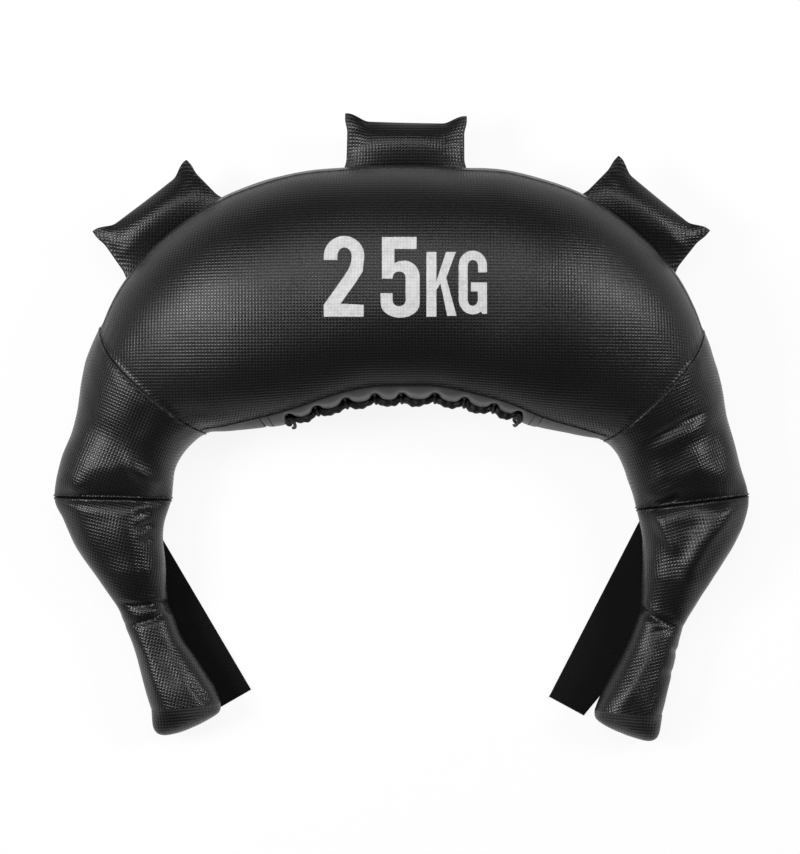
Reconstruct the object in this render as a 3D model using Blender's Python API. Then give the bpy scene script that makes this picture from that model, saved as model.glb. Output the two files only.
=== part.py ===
"""Sandbag trainer: a crescent sandbag with two folding arms, three side grips and two swing straps.

The bag lies on its back: +Z is up, +X to the right arm and +Y to the top side grip.
Every skin is a loft of cross-sections whose inner and outer edges follow the bag's plan.
"""

import math

import bmesh
import bpy
from mathutils import Vector

# The crescent as a whole, in metres
CRESCENT_SPAN = 0.700  # outer edge of one arm to the outer edge of the other
CRESCENT_DEPTH = 0.577  # top edge of the body to the ends of the arms
BODY_HEIGHT = 0.178  # thickness of the filled body in the middle

# Leather and seams
LEATHER = 0.0020
SEAM_GAP = 0.0004  # between two pieces sewn edge to edge
FILL_GAP = 0.0006  # between a skin and what fills it
SECTION_POWER_SHARE = 0.88  # below 1 the sections are fuller than an ellipse
CENTRE_HEIGHT_SHARE = 0.47  # the widest level, as a share of a section's height
SAG_SHARE = 1.10  # how far a section would sag below the floor if nothing pressed it flat
OUTER_SEAM_DEG = 13.0  # the front and back panels meet this far above the widest level
GUSSET_MIDDLE_DEG = 34.0  # half the angle that the inner strip covers in the middle
GUSSET_END_DEG = 21.0

# The laced mouth
MOUTH_STITCHES = 9
STITCH_PITCH = 0.0281
HEM_RADIUS = 0.0028
HEM_SWELL = 0.0005  # the hem is fuller between two stitches and tighter at them
LACE_RADIUS = 0.0015
LACE_GAP = 0.0006
LACE_POWER_SHARE = 0.70
LACE_KNOT_SHARE = 1.5  # a knot's radius as a share of the lace's
LACE_HOLE_DEPTH_SHARE = 6.0  # length of a hole's cutter, as a share of the leather it goes through
LACE_HOLE_SIDES = 8
LACE_BEVEL_STEPS = 2
HEM_DEGREES = (35, -10, -55, -90, -125, -170, -215)  # round a hem, from its sheet and back to it
LIP_LEVEL_SHARES = (0.5, 0.0)  # heights of a lip's rows between its seam and its hem

# The lace's ends: how far on, how high, and how thick the cord is there, all as shares
LACE_TAIL_SHARES = (
    (0.9, 0.75, 1.0),
    (1.8, 0.45, 1.5),
    (2.2, 0.0, 1.5),
    (2.2, -0.6, 0.9),
    (2.0, -1.1, 0.5),
)

# Ends of the arms
CAP_DEPTH = 0.027
CAP_POWER_SHARE = 0.5
CAP_RING_SHARES = (0.0, 0.45, 0.75, 0.92)

# Side grips
GRIP_WIDTH = 0.122
GRIP_DEPTH = 0.051  # from the base seam to the middle of the fold
GRIP_THICKNESS = 0.030
GRIP_FLARE = 0.008  # how far the outer corners stand beyond the middle of the fold
GRIP_WAIST = 0.003  # how far the side seams are drawn in
GRIP_LEATHER = 0.0018
GRIP_BASE_SLIT = 0.0016  # between the two leaves where they enter the bag's seam
GRIP_SEAT_DEG = -6.0  # the level of the base seam on the bag's section
GRIP_DROOP_DEG = -8.0
GRIP_STANDOFF = 0.0005
GRIP_SPREAD = 0.5  # stations to each side of a grip, between which its seam's bend is measured
GRIP_FLARE_POWER = 3
PAD_SIDE_POWER = 2.5  # the shape of the pad's swell, across it and then outward
PAD_EDGE_POWER_SHARE = 0.8
PAD_RUN_POWER = 1.2
PAD_ROUND_POWER_SHARE = 0.9

# Swing straps
STRAP_WIDTH = 0.050
STRAP_LENGTH = 0.229
WEBBING = 0.0018
STRAP_INNER_GAP = 0.0006
STRAP_CLEARANCE = 0.0006
STRAP_ROOT_SETBACK = 0.0025  # from the wrist seam to the end of the webbing
STRAP_TAPER_SHARE = 0.84  # width at the free end, as a share of the width at the root
STRAP_RUN_SHARES = (0.0, 0.33, 0.66)
STRAP_FOLD_STEPS = 4

# Edge points of the crescent: outer x, outer y, inner x, inner y, as shares of span and depth,
# then the section's height as a share of the body's, and how far it is lifted by the strap below it
LEFT_ARM_SHARES = [
    (-0.361, -0.492, -0.261, -0.482, 0.35, 0.0),
    (-0.369, -0.463, -0.270, -0.452, 0.35, 0.1),
    (-0.378, -0.423, -0.291, -0.414, 0.33, 0.5),
    (-0.386, -0.385, -0.314, -0.371, 0.31, 0.9),
    (-0.399, -0.347, -0.329, -0.329, 0.30, 1.0),
    (-0.411, -0.312, -0.338, -0.298, 0.31, 1.0),
    (-0.441, -0.258, -0.340, -0.241, 0.37, 1.0),
    (-0.469, -0.208, -0.343, -0.199, 0.42, 1.0),
    (-0.487, -0.161, -0.341, -0.165, 0.46, 1.0),
    (-0.499, -0.120, -0.331, -0.125, 0.50, 1.0),
    (-0.489, -0.055, -0.329, -0.102, 0.53, 0.4),
    (-0.471, 0.005, -0.326, -0.076, 0.56, 0.0),
    (-0.463, 0.057, -0.317, -0.052, 0.60, 0.0),
    (-0.453, 0.118, -0.301, -0.028, 0.65, 0.0),
]
BODY_SHARES = [
    (-0.431, 0.177, -0.279, -0.010, 0.72, 0.0),
    (-0.394, 0.258, -0.239, -0.005, 0.82, 0.0),
    (-0.337, 0.333, -0.193, 0.002, 0.91, 0.0),
    (-0.254, 0.400, -0.144, 0.012, 0.97, 0.0),
    (-0.159, 0.439, -0.094, 0.029, 0.99, 0.0),
    (-0.080, 0.451, -0.047, 0.040, 1.00, 0.0),
    (0.001, 0.454, 0.001, 0.042, 1.00, 0.0),
    (0.081, 0.451, 0.050, 0.042, 1.00, 0.0),
    (0.159, 0.444, 0.097, 0.033, 0.99, 0.0),
    (0.257, 0.406, 0.146, 0.021, 0.97, 0.0),
    (0.337, 0.340, 0.193, 0.003, 0.91, 0.0),
    (0.396, 0.265, 0.244, -0.010, 0.82, 0.0),
    (0.434, 0.172, 0.290, -0.023, 0.72, 0.0),
]
RIGHT_ARM_SHARES = [
    (0.451, 0.114, 0.309, -0.042, 0.65, 0.0),
    (0.463, 0.062, 0.319, -0.066, 0.60, 0.0),
    (0.470, 0.014, 0.326, -0.087, 0.56, 0.0),
    (0.486, -0.055, 0.333, -0.111, 0.53, 0.4),
    (0.500, -0.118, 0.339, -0.142, 0.50, 1.0),
    (0.494, -0.163, 0.346, -0.177, 0.46, 1.0),
    (0.477, -0.210, 0.349, -0.213, 0.42, 1.0),
    (0.449, -0.267, 0.349, -0.255, 0.37, 1.0),
    (0.421, -0.321, 0.347, -0.308, 0.31, 1.0),
    (0.406, -0.357, 0.340, -0.341, 0.30, 1.0),
    (0.399, -0.393, 0.327, -0.381, 0.31, 0.9),
    (0.391, -0.437, 0.307, -0.425, 0.33, 0.5),
    (0.383, -0.475, 0.290, -0.466, 0.35, 0.1),
    (0.377, -0.503, 0.281, -0.494, 0.35, 0.0),
]
STATION_SHARES = LEFT_ARM_SHARES + BODY_SHARES + RIGHT_ARM_SHARES

# Where the seams cross the list of stations
LEFT_WRIST = 9
LEFT_SHOULDER = len(LEFT_ARM_SHARES)
MOUTH_START = LEFT_SHOULDER + 2
BODY_MIDDLE = LEFT_SHOULDER + len(BODY_SHARES) // 2
MOUTH_END = LEFT_SHOULDER + len(BODY_SHARES) - 3
RIGHT_SHOULDER = LEFT_SHOULDER + len(BODY_SHARES) - 1
RIGHT_WRIST = len(STATION_SHARES) - 1 - LEFT_WRIST
LEFT_END = 0
RIGHT_END = len(STATION_SHARES) - 1

# Where the side grips and straps lie, as they were laid down
SIDE_GRIP_PLACES = {
    "left": LEFT_SHOULDER + 2.1,
    "top": BODY_MIDDLE + 0.05,
    "right": RIGHT_SHOULDER - 2.1,
}
LEFT_STRAP_LEAN_DEG = 16.0
LEFT_STRAP_OFFSET = 0.0
RIGHT_STRAP_LEAN_DEG = -14.8
RIGHT_STRAP_OFFSET = -0.018

# Fineness of the lofts
STEPS_PER_STATION = 2
PANEL_STEPS = 8
GUSSET_STEPS = 4
SLEEVE_SIDES = 16
STEPS_PER_STITCH = 4
LACE_POINTS_PER_TURN = 12

# A side grip's pad: places across it and outward from its base, and its swell there
GRIP_ACROSS_SHARES = (-1.0, -0.94, -0.80, -0.50, 0.0, 0.50, 0.80, 0.94, 1.0)
GRIP_OUTWARD_SHARES = (0.0, 0.12, 0.30, 0.52, 0.74, 0.90, 0.96, 1.0)
GRIP_SEAM_SHARE = 0.94
GRIP_FOLD_SHARE = 0.96


def material(name, colour, roughness):
    """A plain Principled material."""
    made = bpy.data.materials.new(name)
    made.use_nodes = True
    shader = made.node_tree.nodes["Principled BSDF"]
    shader.inputs["Base Color"].default_value = (*colour, 1.0)
    shader.inputs["Roughness"].default_value = roughness
    return made


def mesh_object(name, points, faces, body, finish):
    """Closed mesh from points in the world, hung on the empty that its body turns about."""
    mesh = bpy.data.meshes.new(name)
    origin = body.matrix_world.translation
    mesh.from_pydata([Vector(p) - origin for p in points], [], faces)
    work = bmesh.new()
    work.from_mesh(mesh)
    bmesh.ops.recalc_face_normals(work, faces=work.faces)
    work.to_mesh(mesh)
    work.free()
    mesh.shade_smooth()
    mesh.set_sharp_from_angle(angle=math.radians(50.0))
    mesh.materials.append(finish)
    made = bpy.data.objects.new(name, mesh)
    bpy.context.scene.collection.objects.link(made)
    made.parent = body
    return made


def pivot(name, place, parent=None):
    """Empty on a joint's axis, which carries everything that turns there."""
    empty = bpy.data.objects.new(name, None)
    bpy.context.scene.collection.objects.link(empty)
    empty.parent = parent
    empty.location = Vector(place) - (parent.matrix_world.translation if parent else Vector())
    bpy.context.view_layer.update()
    return empty


def blend_row(table, place):
    """Smooth curve through the rows of a table, read at a place between two rows."""
    low = min(max(int(math.floor(place)), 0), len(table) - 2)
    part = place - low
    rows = [table[min(max(low + k, 0), len(table) - 1)] for k in (-1, 0, 1, 2)]
    result = []
    for before, start, end, after in zip(*rows):
        slope_in = (end - before) / 2
        slope_out = (after - start) / 2
        cube = 2 * (start - end) + slope_in + slope_out
        square = -3 * (start - end) - 2 * slope_in - slope_out
        result.append(start + part * (slope_in + part * (square + part * cube)))
    return result


def lift():
    """Height that the doubled webbing needs under the arms."""
    return 2 * WEBBING + STRAP_INNER_GAP + STRAP_CLEARANCE


def station(place):
    """Middle, outward direction, half width, underside and top of the section at a place."""
    outer_x, outer_y, inner_x, inner_y, height, lifted = blend_row(STATION_SHARES, place)
    outer = Vector((outer_x * CRESCENT_SPAN, outer_y * CRESCENT_DEPTH, 0))
    inner = Vector((inner_x * CRESCENT_SPAN, inner_y * CRESCENT_DEPTH, 0))
    across = outer - inner
    underside = lifted * lift()
    top = underside + height * BODY_HEIGHT
    return (outer + inner) / 2, across.normalized(), across.length / 2, underside, top


def along(place):
    """Direction of the bag's run there, square to the section, from the left end to the right end."""
    across = station(place)[1]
    return Vector((across.y, -across.x, 0))


def power(value, share):
    """Signed power, for a section fuller than an ellipse."""
    return math.copysign(abs(value) ** share, value)


def section_point(place, degrees, inset=0.0, shift=0.0):
    """Point of a section, counted from its outer edge over the top, set in by a wall and moved along."""
    middle, across, half, underside, top = station(place)
    widest = underside + CENTRE_HEIGHT_SHARE * (top - underside)
    turn = math.radians(degrees)
    side = power(math.cos(turn), SECTION_POWER_SHARE) * (half - inset)
    rise = power(math.sin(turn), SECTION_POWER_SHARE)
    if rise >= 0:
        height = widest + rise * (top - widest - inset)
    else:
        height = widest + rise * ((widest - underside) * SAG_SHARE - inset)
    height = max(height, underside + inset)
    return middle + across * side + along(place) * shift + Vector((0, 0, height))


def spaced(start, end, count):
    """Evenly spaced values, ends included."""
    return [start + (end - start) * k / count for k in range(count + 1)]


def gusset_angle(place):
    """Half the angle that the inner strip covers, widest in the middle."""
    part = (place - LEFT_SHOULDER) / (RIGHT_SHOULDER - LEFT_SHOULDER)
    bulge = math.sin(math.pi * min(max(part, 0.0), 1.0))
    return GUSSET_END_DEG + (GUSSET_MIDDLE_DEG - GUSSET_END_DEG) * bulge


def seam_trim(place, degrees):
    """Angle that half a seam gap takes up on the section."""
    _, _, half, underside, top = station(place)
    turn = math.radians(degrees)
    radius = math.hypot(math.sin(turn) * half, math.cos(turn) * (top - underside) / 2)
    return math.degrees(SEAM_GAP / 2 / radius)


def front_angles(place):
    """Angles across the front panel, from the outer seam over the top to the gusset."""
    start = OUTER_SEAM_DEG + seam_trim(place, OUTER_SEAM_DEG)
    end = 180 - gusset_angle(place)
    return spaced(start, end - seam_trim(place, end), PANEL_STEPS)


def back_angles(place):
    """Angles across the back panel, from the gusset under the bag to the outer seam."""
    start = 180 + gusset_angle(place)
    end = 360 + OUTER_SEAM_DEG
    return spaced(start + seam_trim(place, start), end - seam_trim(place, end), PANEL_STEPS)


def gusset_angles(place):
    """Angles across the inner strip."""
    start = 180 - gusset_angle(place)
    end = 180 + gusset_angle(place)
    return spaced(start + seam_trim(place, start), end - seam_trim(place, end), GUSSET_STEPS)


def end_shift(index, count, gap):
    """Sets the first and last rings of a loft back from its neighbours by half a gap."""
    if index == 0:
        return gap / 2
    if index == count:
        return -gap / 2
    return 0.0


def places_between(start, end, steps=STEPS_PER_STATION):
    return spaced(start, end, round((end - start) * steps))


def sheet(name, outer, inner, body, finish):
    """Thick sheet between two grids of points, closed at its four edges."""
    rows = len(outer)
    columns = len(outer[0])
    points = [p for row in outer for p in row] + [p for row in inner for p in row]
    back = rows * columns

    def at(row, column):
        return row * columns + column

    faces = []
    for row in range(rows - 1):
        for column in range(columns - 1):
            a, b = at(row, column), at(row, column + 1)
            c, d = at(row + 1, column + 1), at(row + 1, column)
            faces.append((a, b, c, d))
            faces.append((back + a, back + d, back + c, back + b))
    for row in range(rows - 1):
        for column in (0, columns - 1):
            a, b = at(row, column), at(row + 1, column)
            faces.append((a, b, back + b, back + a))
    for column in range(columns - 1):
        for row in (0, rows - 1):
            a, b = at(row, column), at(row, column + 1)
            faces.append((a, b, back + b, back + a))
    return mesh_object(name, points, faces, body, finish)


def tube(name, outer, inner, body, finish):
    """Thick tube between two stacks of rings, open at both ends."""
    rows = len(outer)
    sides = len(outer[0])
    points = [p for ring in outer for p in ring] + [p for ring in inner for p in ring]
    back = rows * sides
    faces = []
    for row in range(rows - 1):
        for side in range(sides):
            a, b = row * sides + side, row * sides + (side + 1) % sides
            c, d = b + sides, a + sides
            faces.append((a, b, c, d))
            faces.append((back + a, back + d, back + c, back + b))
    for row in (0, rows - 1):
        for side in range(sides):
            a, b = row * sides + side, row * sides + (side + 1) % sides
            faces.append((a, b, back + b, back + a))
    return mesh_object(name, points, faces, body, finish)


def solid(name, rings, body, finish, tip=None):
    """Solid loft through rings, with a flat start and a flat end or a tip."""
    sides = len(rings[0])
    points = [p for ring in rings for p in ring]
    last = (len(rings) - 1) * sides
    faces = [tuple(range(sides))]
    for row in range(len(rings) - 1):
        for side in range(sides):
            a, b = row * sides + side, row * sides + (side + 1) % sides
            faces.append((a, b, b + sides, a + sides))
    if tip is None:
        faces.append(tuple(range(last, last + sides)))
    else:
        points.append(tip)
        for side in range(sides):
            faces.append((last + side, last + (side + 1) % sides, len(points) - 1))
    return mesh_object(name, points, faces, body, finish)


def cup(name, outer, outer_tip, inner, inner_tip, body, finish):
    """Thick dome between two stacks of rings that close on their tips, open at the first ring."""
    rows = len(outer)
    sides = len(outer[0])
    points = [p for ring in outer for p in ring] + [outer_tip]
    back = len(points)
    points += [p for ring in inner for p in ring] + [inner_tip]
    faces = []
    for side in range(sides):
        after = (side + 1) % sides
        faces.append((side, after, back + after, back + side))
        for row in range(rows - 1):
            a, b = row * sides + side, row * sides + after
            faces.append((a, b, b + sides, a + sides))
            faces.append((back + a, back + b, back + b + sides, back + a + sides))
        a, b = (rows - 1) * sides + side, (rows - 1) * sides + after
        faces.append((a, b, back - 1))
        faces.append((back + a, back + b, len(points) - 1))
    return mesh_object(name, points, faces, body, finish)


def body_panel(name, angles, body, finish):
    """One of the two large crescents of leather."""
    outer, inner = [], []
    places = places_between(LEFT_SHOULDER, RIGHT_SHOULDER)
    for index, place in enumerate(places):
        shift = end_shift(index, len(places) - 1, SEAM_GAP)
        outer.append([section_point(place, a, 0.0, shift) for a in angles(place)])
        inner.append([section_point(place, a, LEATHER, shift) for a in angles(place)])
    return sheet(name, outer, inner, body, finish)


def gusset(name, start, end, body, finish):
    """Plain strip on the inner curve, between a shoulder seam and the mouth."""
    outer, inner = [], []
    places = places_between(start, end)
    for index, place in enumerate(places):
        shift = end_shift(index, len(places) - 1, SEAM_GAP)
        outer.append([section_point(place, a, 0.0, shift) for a in gusset_angles(place)])
        inner.append([section_point(place, a, LEATHER, shift) for a in gusset_angles(place)])
    return sheet(name, outer, inner, body, finish)


def main_pouch(body, finish):
    """Liner with its sand. It stands clear of the lace along the inner side."""
    wall = LEATHER + FILL_GAP
    rings = []
    places = places_between(LEFT_SHOULDER, RIGHT_SHOULDER)
    for index, place in enumerate(places):
        shift = end_shift(index, len(places) - 1, 2 * FILL_GAP)
        angles = front_angles(place)[::2] + back_angles(place)[::2][:-1]
        rings.append([section_point(place, a, wall, shift) for a in angles])
    return solid("main_sand_pouch", rings, body, finish)


def mouth_line():
    """Places along the mouth with the distance from its middle, measured along the hems."""
    places = places_between(MOUTH_START, MOUTH_END, STEPS_PER_STITCH * 2)
    points = [section_point(place, 180) for place in places]
    run = [0.0]
    for before, after in zip(points, points[1:]):
        run.append(run[-1] + (after - before).length)
    middle = run[len(run) // 2]
    return places, [r - middle for r in run]


def place_at(distance):
    """Place on the mouth at a distance from its middle."""
    places, run = mouth_line()
    for k in range(1, len(run)):
        if run[k] >= distance or k == len(run) - 1:
            part = (distance - run[k - 1]) / (run[k] - run[k - 1])
            return places[k - 1] + part * (places[k] - places[k - 1])
    return places[-1]


def hole_phase(side):
    """Turns from one of the lace's peaks to the holes in a lip: the upper ones lie at the peaks."""
    return 0.0 if side > 0 else 0.5


def hem_radius(distance, side):
    """Radius of a hem, tighter where the lace pierces its lip."""
    turn = 2 * math.pi * (distance / STITCH_PITCH - hole_phase(side))
    return HEM_RADIUS - HEM_SWELL * math.cos(turn)


def mouth_frame(place):
    """Middle of the lips' thickness at the mouth, and the direction out of the bag."""
    return section_point(place, 180, LEATHER / 2), -station(place)[1]


def lace_reach():
    """Half the lace's turn outward, and up to the holes."""
    outward = HEM_RADIUS + LACE_RADIUS + LACE_GAP
    upward = SEAM_GAP / 2 + 2 * (HEM_RADIUS - HEM_SWELL) + 2 * LACE_GAP + 2 * LACE_RADIUS
    return outward, upward


def lip_profile(place, distance, side, shift):
    """Closed outline of a lip: its sheet down from the seam, and the rolled hem at its edge."""
    radius = hem_radius(distance, side)
    base, outward = mouth_frame(place)
    step = along(place) * shift
    start = 180 - side * gusset_angle(place)
    start += side * seam_trim(place, start)
    top_of_hem = SEAM_GAP / 2 + 2 * radius
    height = abs(section_point(place, start).z - base.z)
    outer = [section_point(place, start, 0.0, shift)]
    inner = [section_point(place, start, LEATHER, shift)]
    for share in LIP_LEVEL_SHARES:
        turn = 180 - side * share * gusset_angle(place)
        level = top_of_hem + share * (height - top_of_hem)
        for line, inset in ((outer, 0.0), (inner, LEATHER)):
            point = section_point(place, turn, inset, shift)
            point.z = base.z + side * level
            line.append(point)
    hem = []
    for degrees in HEM_DEGREES:
        turn = math.radians(degrees)
        rise = SEAM_GAP / 2 + radius * (1 + math.sin(turn))
        hem.append(base + step + outward * radius * math.cos(turn) + Vector((0, 0, side * rise)))
    return outer + hem + inner[::-1]


def lace_point(turn):
    """Point of the lace, counted in turns from the peak in the middle of the mouth."""
    distance = turn * STITCH_PITCH
    base, out = mouth_frame(place_at(distance))
    outward, upward = lace_reach()
    angle = 2 * math.pi * turn + math.pi / 2
    reach = power(math.cos(angle), LACE_POWER_SHARE) * outward
    rise = power(math.sin(angle), LACE_POWER_SHARE) * upward
    return base + out * reach + Vector((0, 0, rise))


def stitch_turns(side):
    """Turns at which the lace pierces a lip. The last peak only carries the end knot."""
    first = -(MOUTH_STITCHES // 2)
    return [first + k + hole_phase(side) for k in range(MOUTH_STITCHES - 1)]


def lace_holes(side):
    """Cutter with one round bar for each hole in a lip, laid along the lace there."""
    work = bmesh.new()
    for turn in stitch_turns(side):
        step = 1 / LACE_POINTS_PER_TURN
        direction = lace_point(turn + step) - lace_point(turn - step)
        direction.z = 0
        matrix = direction.to_track_quat("Z", "Y").to_matrix().to_4x4()
        matrix.translation = lace_point(turn)
        bmesh.ops.create_cone(
            work,
            cap_ends=True,
            segments=LACE_HOLE_SIDES,
            radius1=LACE_RADIUS + 2 * LACE_GAP,
            radius2=LACE_RADIUS + 2 * LACE_GAP,
            depth=LACE_HOLE_DEPTH_SHARE * LEATHER,
            matrix=matrix,
        )
    mesh = bpy.data.meshes.new("lace_hole_cutter")
    work.to_mesh(mesh)
    work.free()
    cutter = bpy.data.objects.new("lace_hole_cutter", mesh)
    bpy.context.scene.collection.objects.link(cutter)
    cutter.hide_render = True
    cutter.display_type = "WIRE"
    return cutter


def mouth_lip(name, side, body, finish):
    """Hemmed lip of the mouth, pierced for the lace. Side is 1 above the mouth and -1 below it."""
    _, run = mouth_line()
    count = round((run[-1] - run[0]) / STITCH_PITCH * STEPS_PER_STITCH)
    rings = []
    for index, distance in enumerate(spaced(run[0], run[-1], count)):
        shift = end_shift(index, count, SEAM_GAP)
        rings.append(lip_profile(place_at(distance), distance, side, shift))
    lip = solid(name, rings, body, finish)
    cut = lip.modifiers.new("lace_holes", "BOOLEAN")
    cut.operation = "DIFFERENCE"
    cut.object = lace_holes(side)
    return lip


def lace_tail(turn, way):
    """Knot and hanging tail of the lace, outside the upper lip, on past one end of the whipping."""
    base, out = mouth_frame(place_at(turn * STITCH_PITCH))
    outward, upward = lace_reach()
    run = along(place_at(turn * STITCH_PITCH)) * way
    knot = LACE_RADIUS * LACE_KNOT_SHARE
    tail = []
    for sideways, level, thickness in LACE_TAIL_SHARES:
        place = base + out * (outward + knot) + run * sideways * knot + Vector((0, 0, level * upward))
        tail.append((place, thickness))
    return tail


def closure_lace(body, finish):
    """One unbroken cord, whipped round both hems, with a knot and a tail at each end."""
    first = -(MOUTH_STITCHES // 2)
    last = first + MOUTH_STITCHES - 1
    step = 1 / LACE_POINTS_PER_TURN
    count = (MOUTH_STITCHES - 1) * LACE_POINTS_PER_TURN
    whipped = [(lace_point(turn), 1.0) for turn in spaced(first - step, last - step, count)]
    route = lace_tail(first - step, -1)[::-1] + whipped + lace_tail(last - step, 1)
    curve = bpy.data.curves.new("closure_lace", "CURVE")
    curve.dimensions = "3D"
    curve.bevel_depth = LACE_RADIUS
    curve.bevel_resolution = LACE_BEVEL_STEPS
    curve.use_fill_caps = True
    spline = curve.splines.new("POLY")
    origin = body.matrix_world.translation
    spline.points.add(len(route) - 1)
    for point, (place, thickness) in zip(spline.points, route):
        point.co = (*(place - origin), 1.0)
        point.radius = thickness
    curve.materials.append(finish)
    made = bpy.data.objects.new("closure_lace", curve)
    bpy.context.scene.collection.objects.link(made)
    made.parent = body
    return made


def sleeve_rings(start, end, sides, inset, gap):
    """Rings of a sleeve or its filling between two places."""
    places = places_between(min(start, end), max(start, end))
    rings = []
    for index, place in enumerate(places):
        shift = end_shift(index, len(places) - 1, gap)
        rings.append([section_point(place, 360 * k / sides, inset, shift) for k in range(sides)])
    return rings if start < end else rings[::-1]


def sleeve(name, start, end, body, finish):
    """Leather tube between two seams."""
    outer = sleeve_rings(start, end, SLEEVE_SIDES, 0.0, SEAM_GAP)
    inner = sleeve_rings(start, end, SLEEVE_SIDES, LEATHER, SEAM_GAP)
    return tube(name, outer, inner, body, finish)


def arm_pouch(name, start, end, body, finish):
    """Sand-filled liner of an upper sleeve."""
    rings = sleeve_rings(start, end, SLEEVE_SIDES // 2, LEATHER + FILL_GAP, 2 * FILL_GAP)
    return solid(name, rings, body, finish)


def dome(place, heading, sides, inset, start_gap):
    """Rings and tip of an arm's boxy end, set in by a wall."""
    rings = []
    middle = station(place)[0]
    depth = CAP_DEPTH - inset
    for share in CAP_RING_SHARES:
        reach = start_gap + share * (depth - start_gap)
        narrow = (1 - share**2) ** CAP_POWER_SHARE
        centre = section_point(place, 0, inset)
        centre = Vector((middle.x, middle.y, centre.z))
        ring = []
        for k in range(sides):
            point = section_point(place, 360 * k / sides, inset)
            ring.append(centre + (point - centre) * narrow + heading * reach)
        rings.append(ring)
    return rings, centre + heading * depth


def end_cap(name, place, heading, body, finish):
    """Leather end of an arm, a rounded box sewn to the grip sleeve."""
    outer, outer_tip = dome(place, heading, SLEEVE_SIDES, 0.0, SEAM_GAP)
    inner, inner_tip = dome(place, heading, SLEEVE_SIDES, LEATHER, SEAM_GAP)
    return cup(name, outer, outer_tip, inner, inner_tip, body, finish)


def grip_core(name, wrist, end, heading, body, finish):
    """Firm core of a grip, from the wrist seam up into the end cap."""
    wall = LEATHER + FILL_GAP
    sides = SLEEVE_SIDES // 2
    rings = sleeve_rings(wrist, end, sides, wall, 2 * FILL_GAP)[:-1]
    domed, tip = dome(end, heading, sides, wall, 0.0)
    return solid(name, rings + domed, body, finish, tip)


def outer_edge(place):
    """Point of the crescent's outer edge, in plan."""
    middle, across, half, _, _ = station(place)
    return middle + across * half


def grip_base(place):
    """Middle of a side grip's base seam, its outward direction, the seam's direction and its bend."""
    edge = outer_edge(place)
    before = outer_edge(place - GRIP_SPREAD)
    after = outer_edge(place + GRIP_SPREAD)
    tangent = (after - before).normalized()
    outward = Vector((-tangent.y, tangent.x, 0))
    seat = section_point(place, GRIP_SEAT_DEG)
    bend = (after - edge).angle(edge - before) / ((after - before).length / 2)
    return seat + outward * GRIP_STANDOFF, outward, tangent, bend


def grip_normal(outward):
    """Direction square to a side grip's middle layer, which droops a little."""
    droop = math.radians(GRIP_DROOP_DEG)
    return Vector((0, 0, math.cos(droop))) - outward * math.sin(droop)


def grip_hinge(base):
    """Middle of the upper leaf's base edge, about which a side grip folds up clear of the bag."""
    seat, outward, _, _ = base
    return seat + grip_normal(outward) * (GRIP_BASE_SLIT / 2 + GRIP_LEATHER)


def pad_swell(across, out):
    """How far a side grip's pad swells from its middle layer, as a share of half its thickness."""
    run = out / GRIP_FOLD_SHARE
    if not 0 < run < 1:
        return 0.0
    side = max(0.0, 1 - (abs(across) / GRIP_SEAM_SHARE) ** PAD_SIDE_POWER)
    round_run = math.sin(math.pi * run**PAD_RUN_POWER)
    return side**PAD_EDGE_POWER_SHARE * round_run**PAD_ROUND_POWER_SHARE


def pad_point(base, across, out, rise):
    """Point of a side grip, from its place across and outward and its height over the middle layer."""
    seat, outward, tangent, bend = base
    half = GRIP_WIDTH / 2
    waist = GRIP_WAIST * math.sin(math.pi * out)
    sideways = across * (half - waist)
    curve = -bend * sideways**2 / 2
    reach = curve + out * (GRIP_DEPTH + GRIP_FLARE * abs(across) ** GRIP_FLARE_POWER - curve)
    droop = math.radians(GRIP_DROOP_DEG)
    plane = outward * math.cos(droop) + Vector((0, 0, math.sin(droop)))
    return seat + tangent * sideways + plane * reach + grip_normal(outward) * rise


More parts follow.
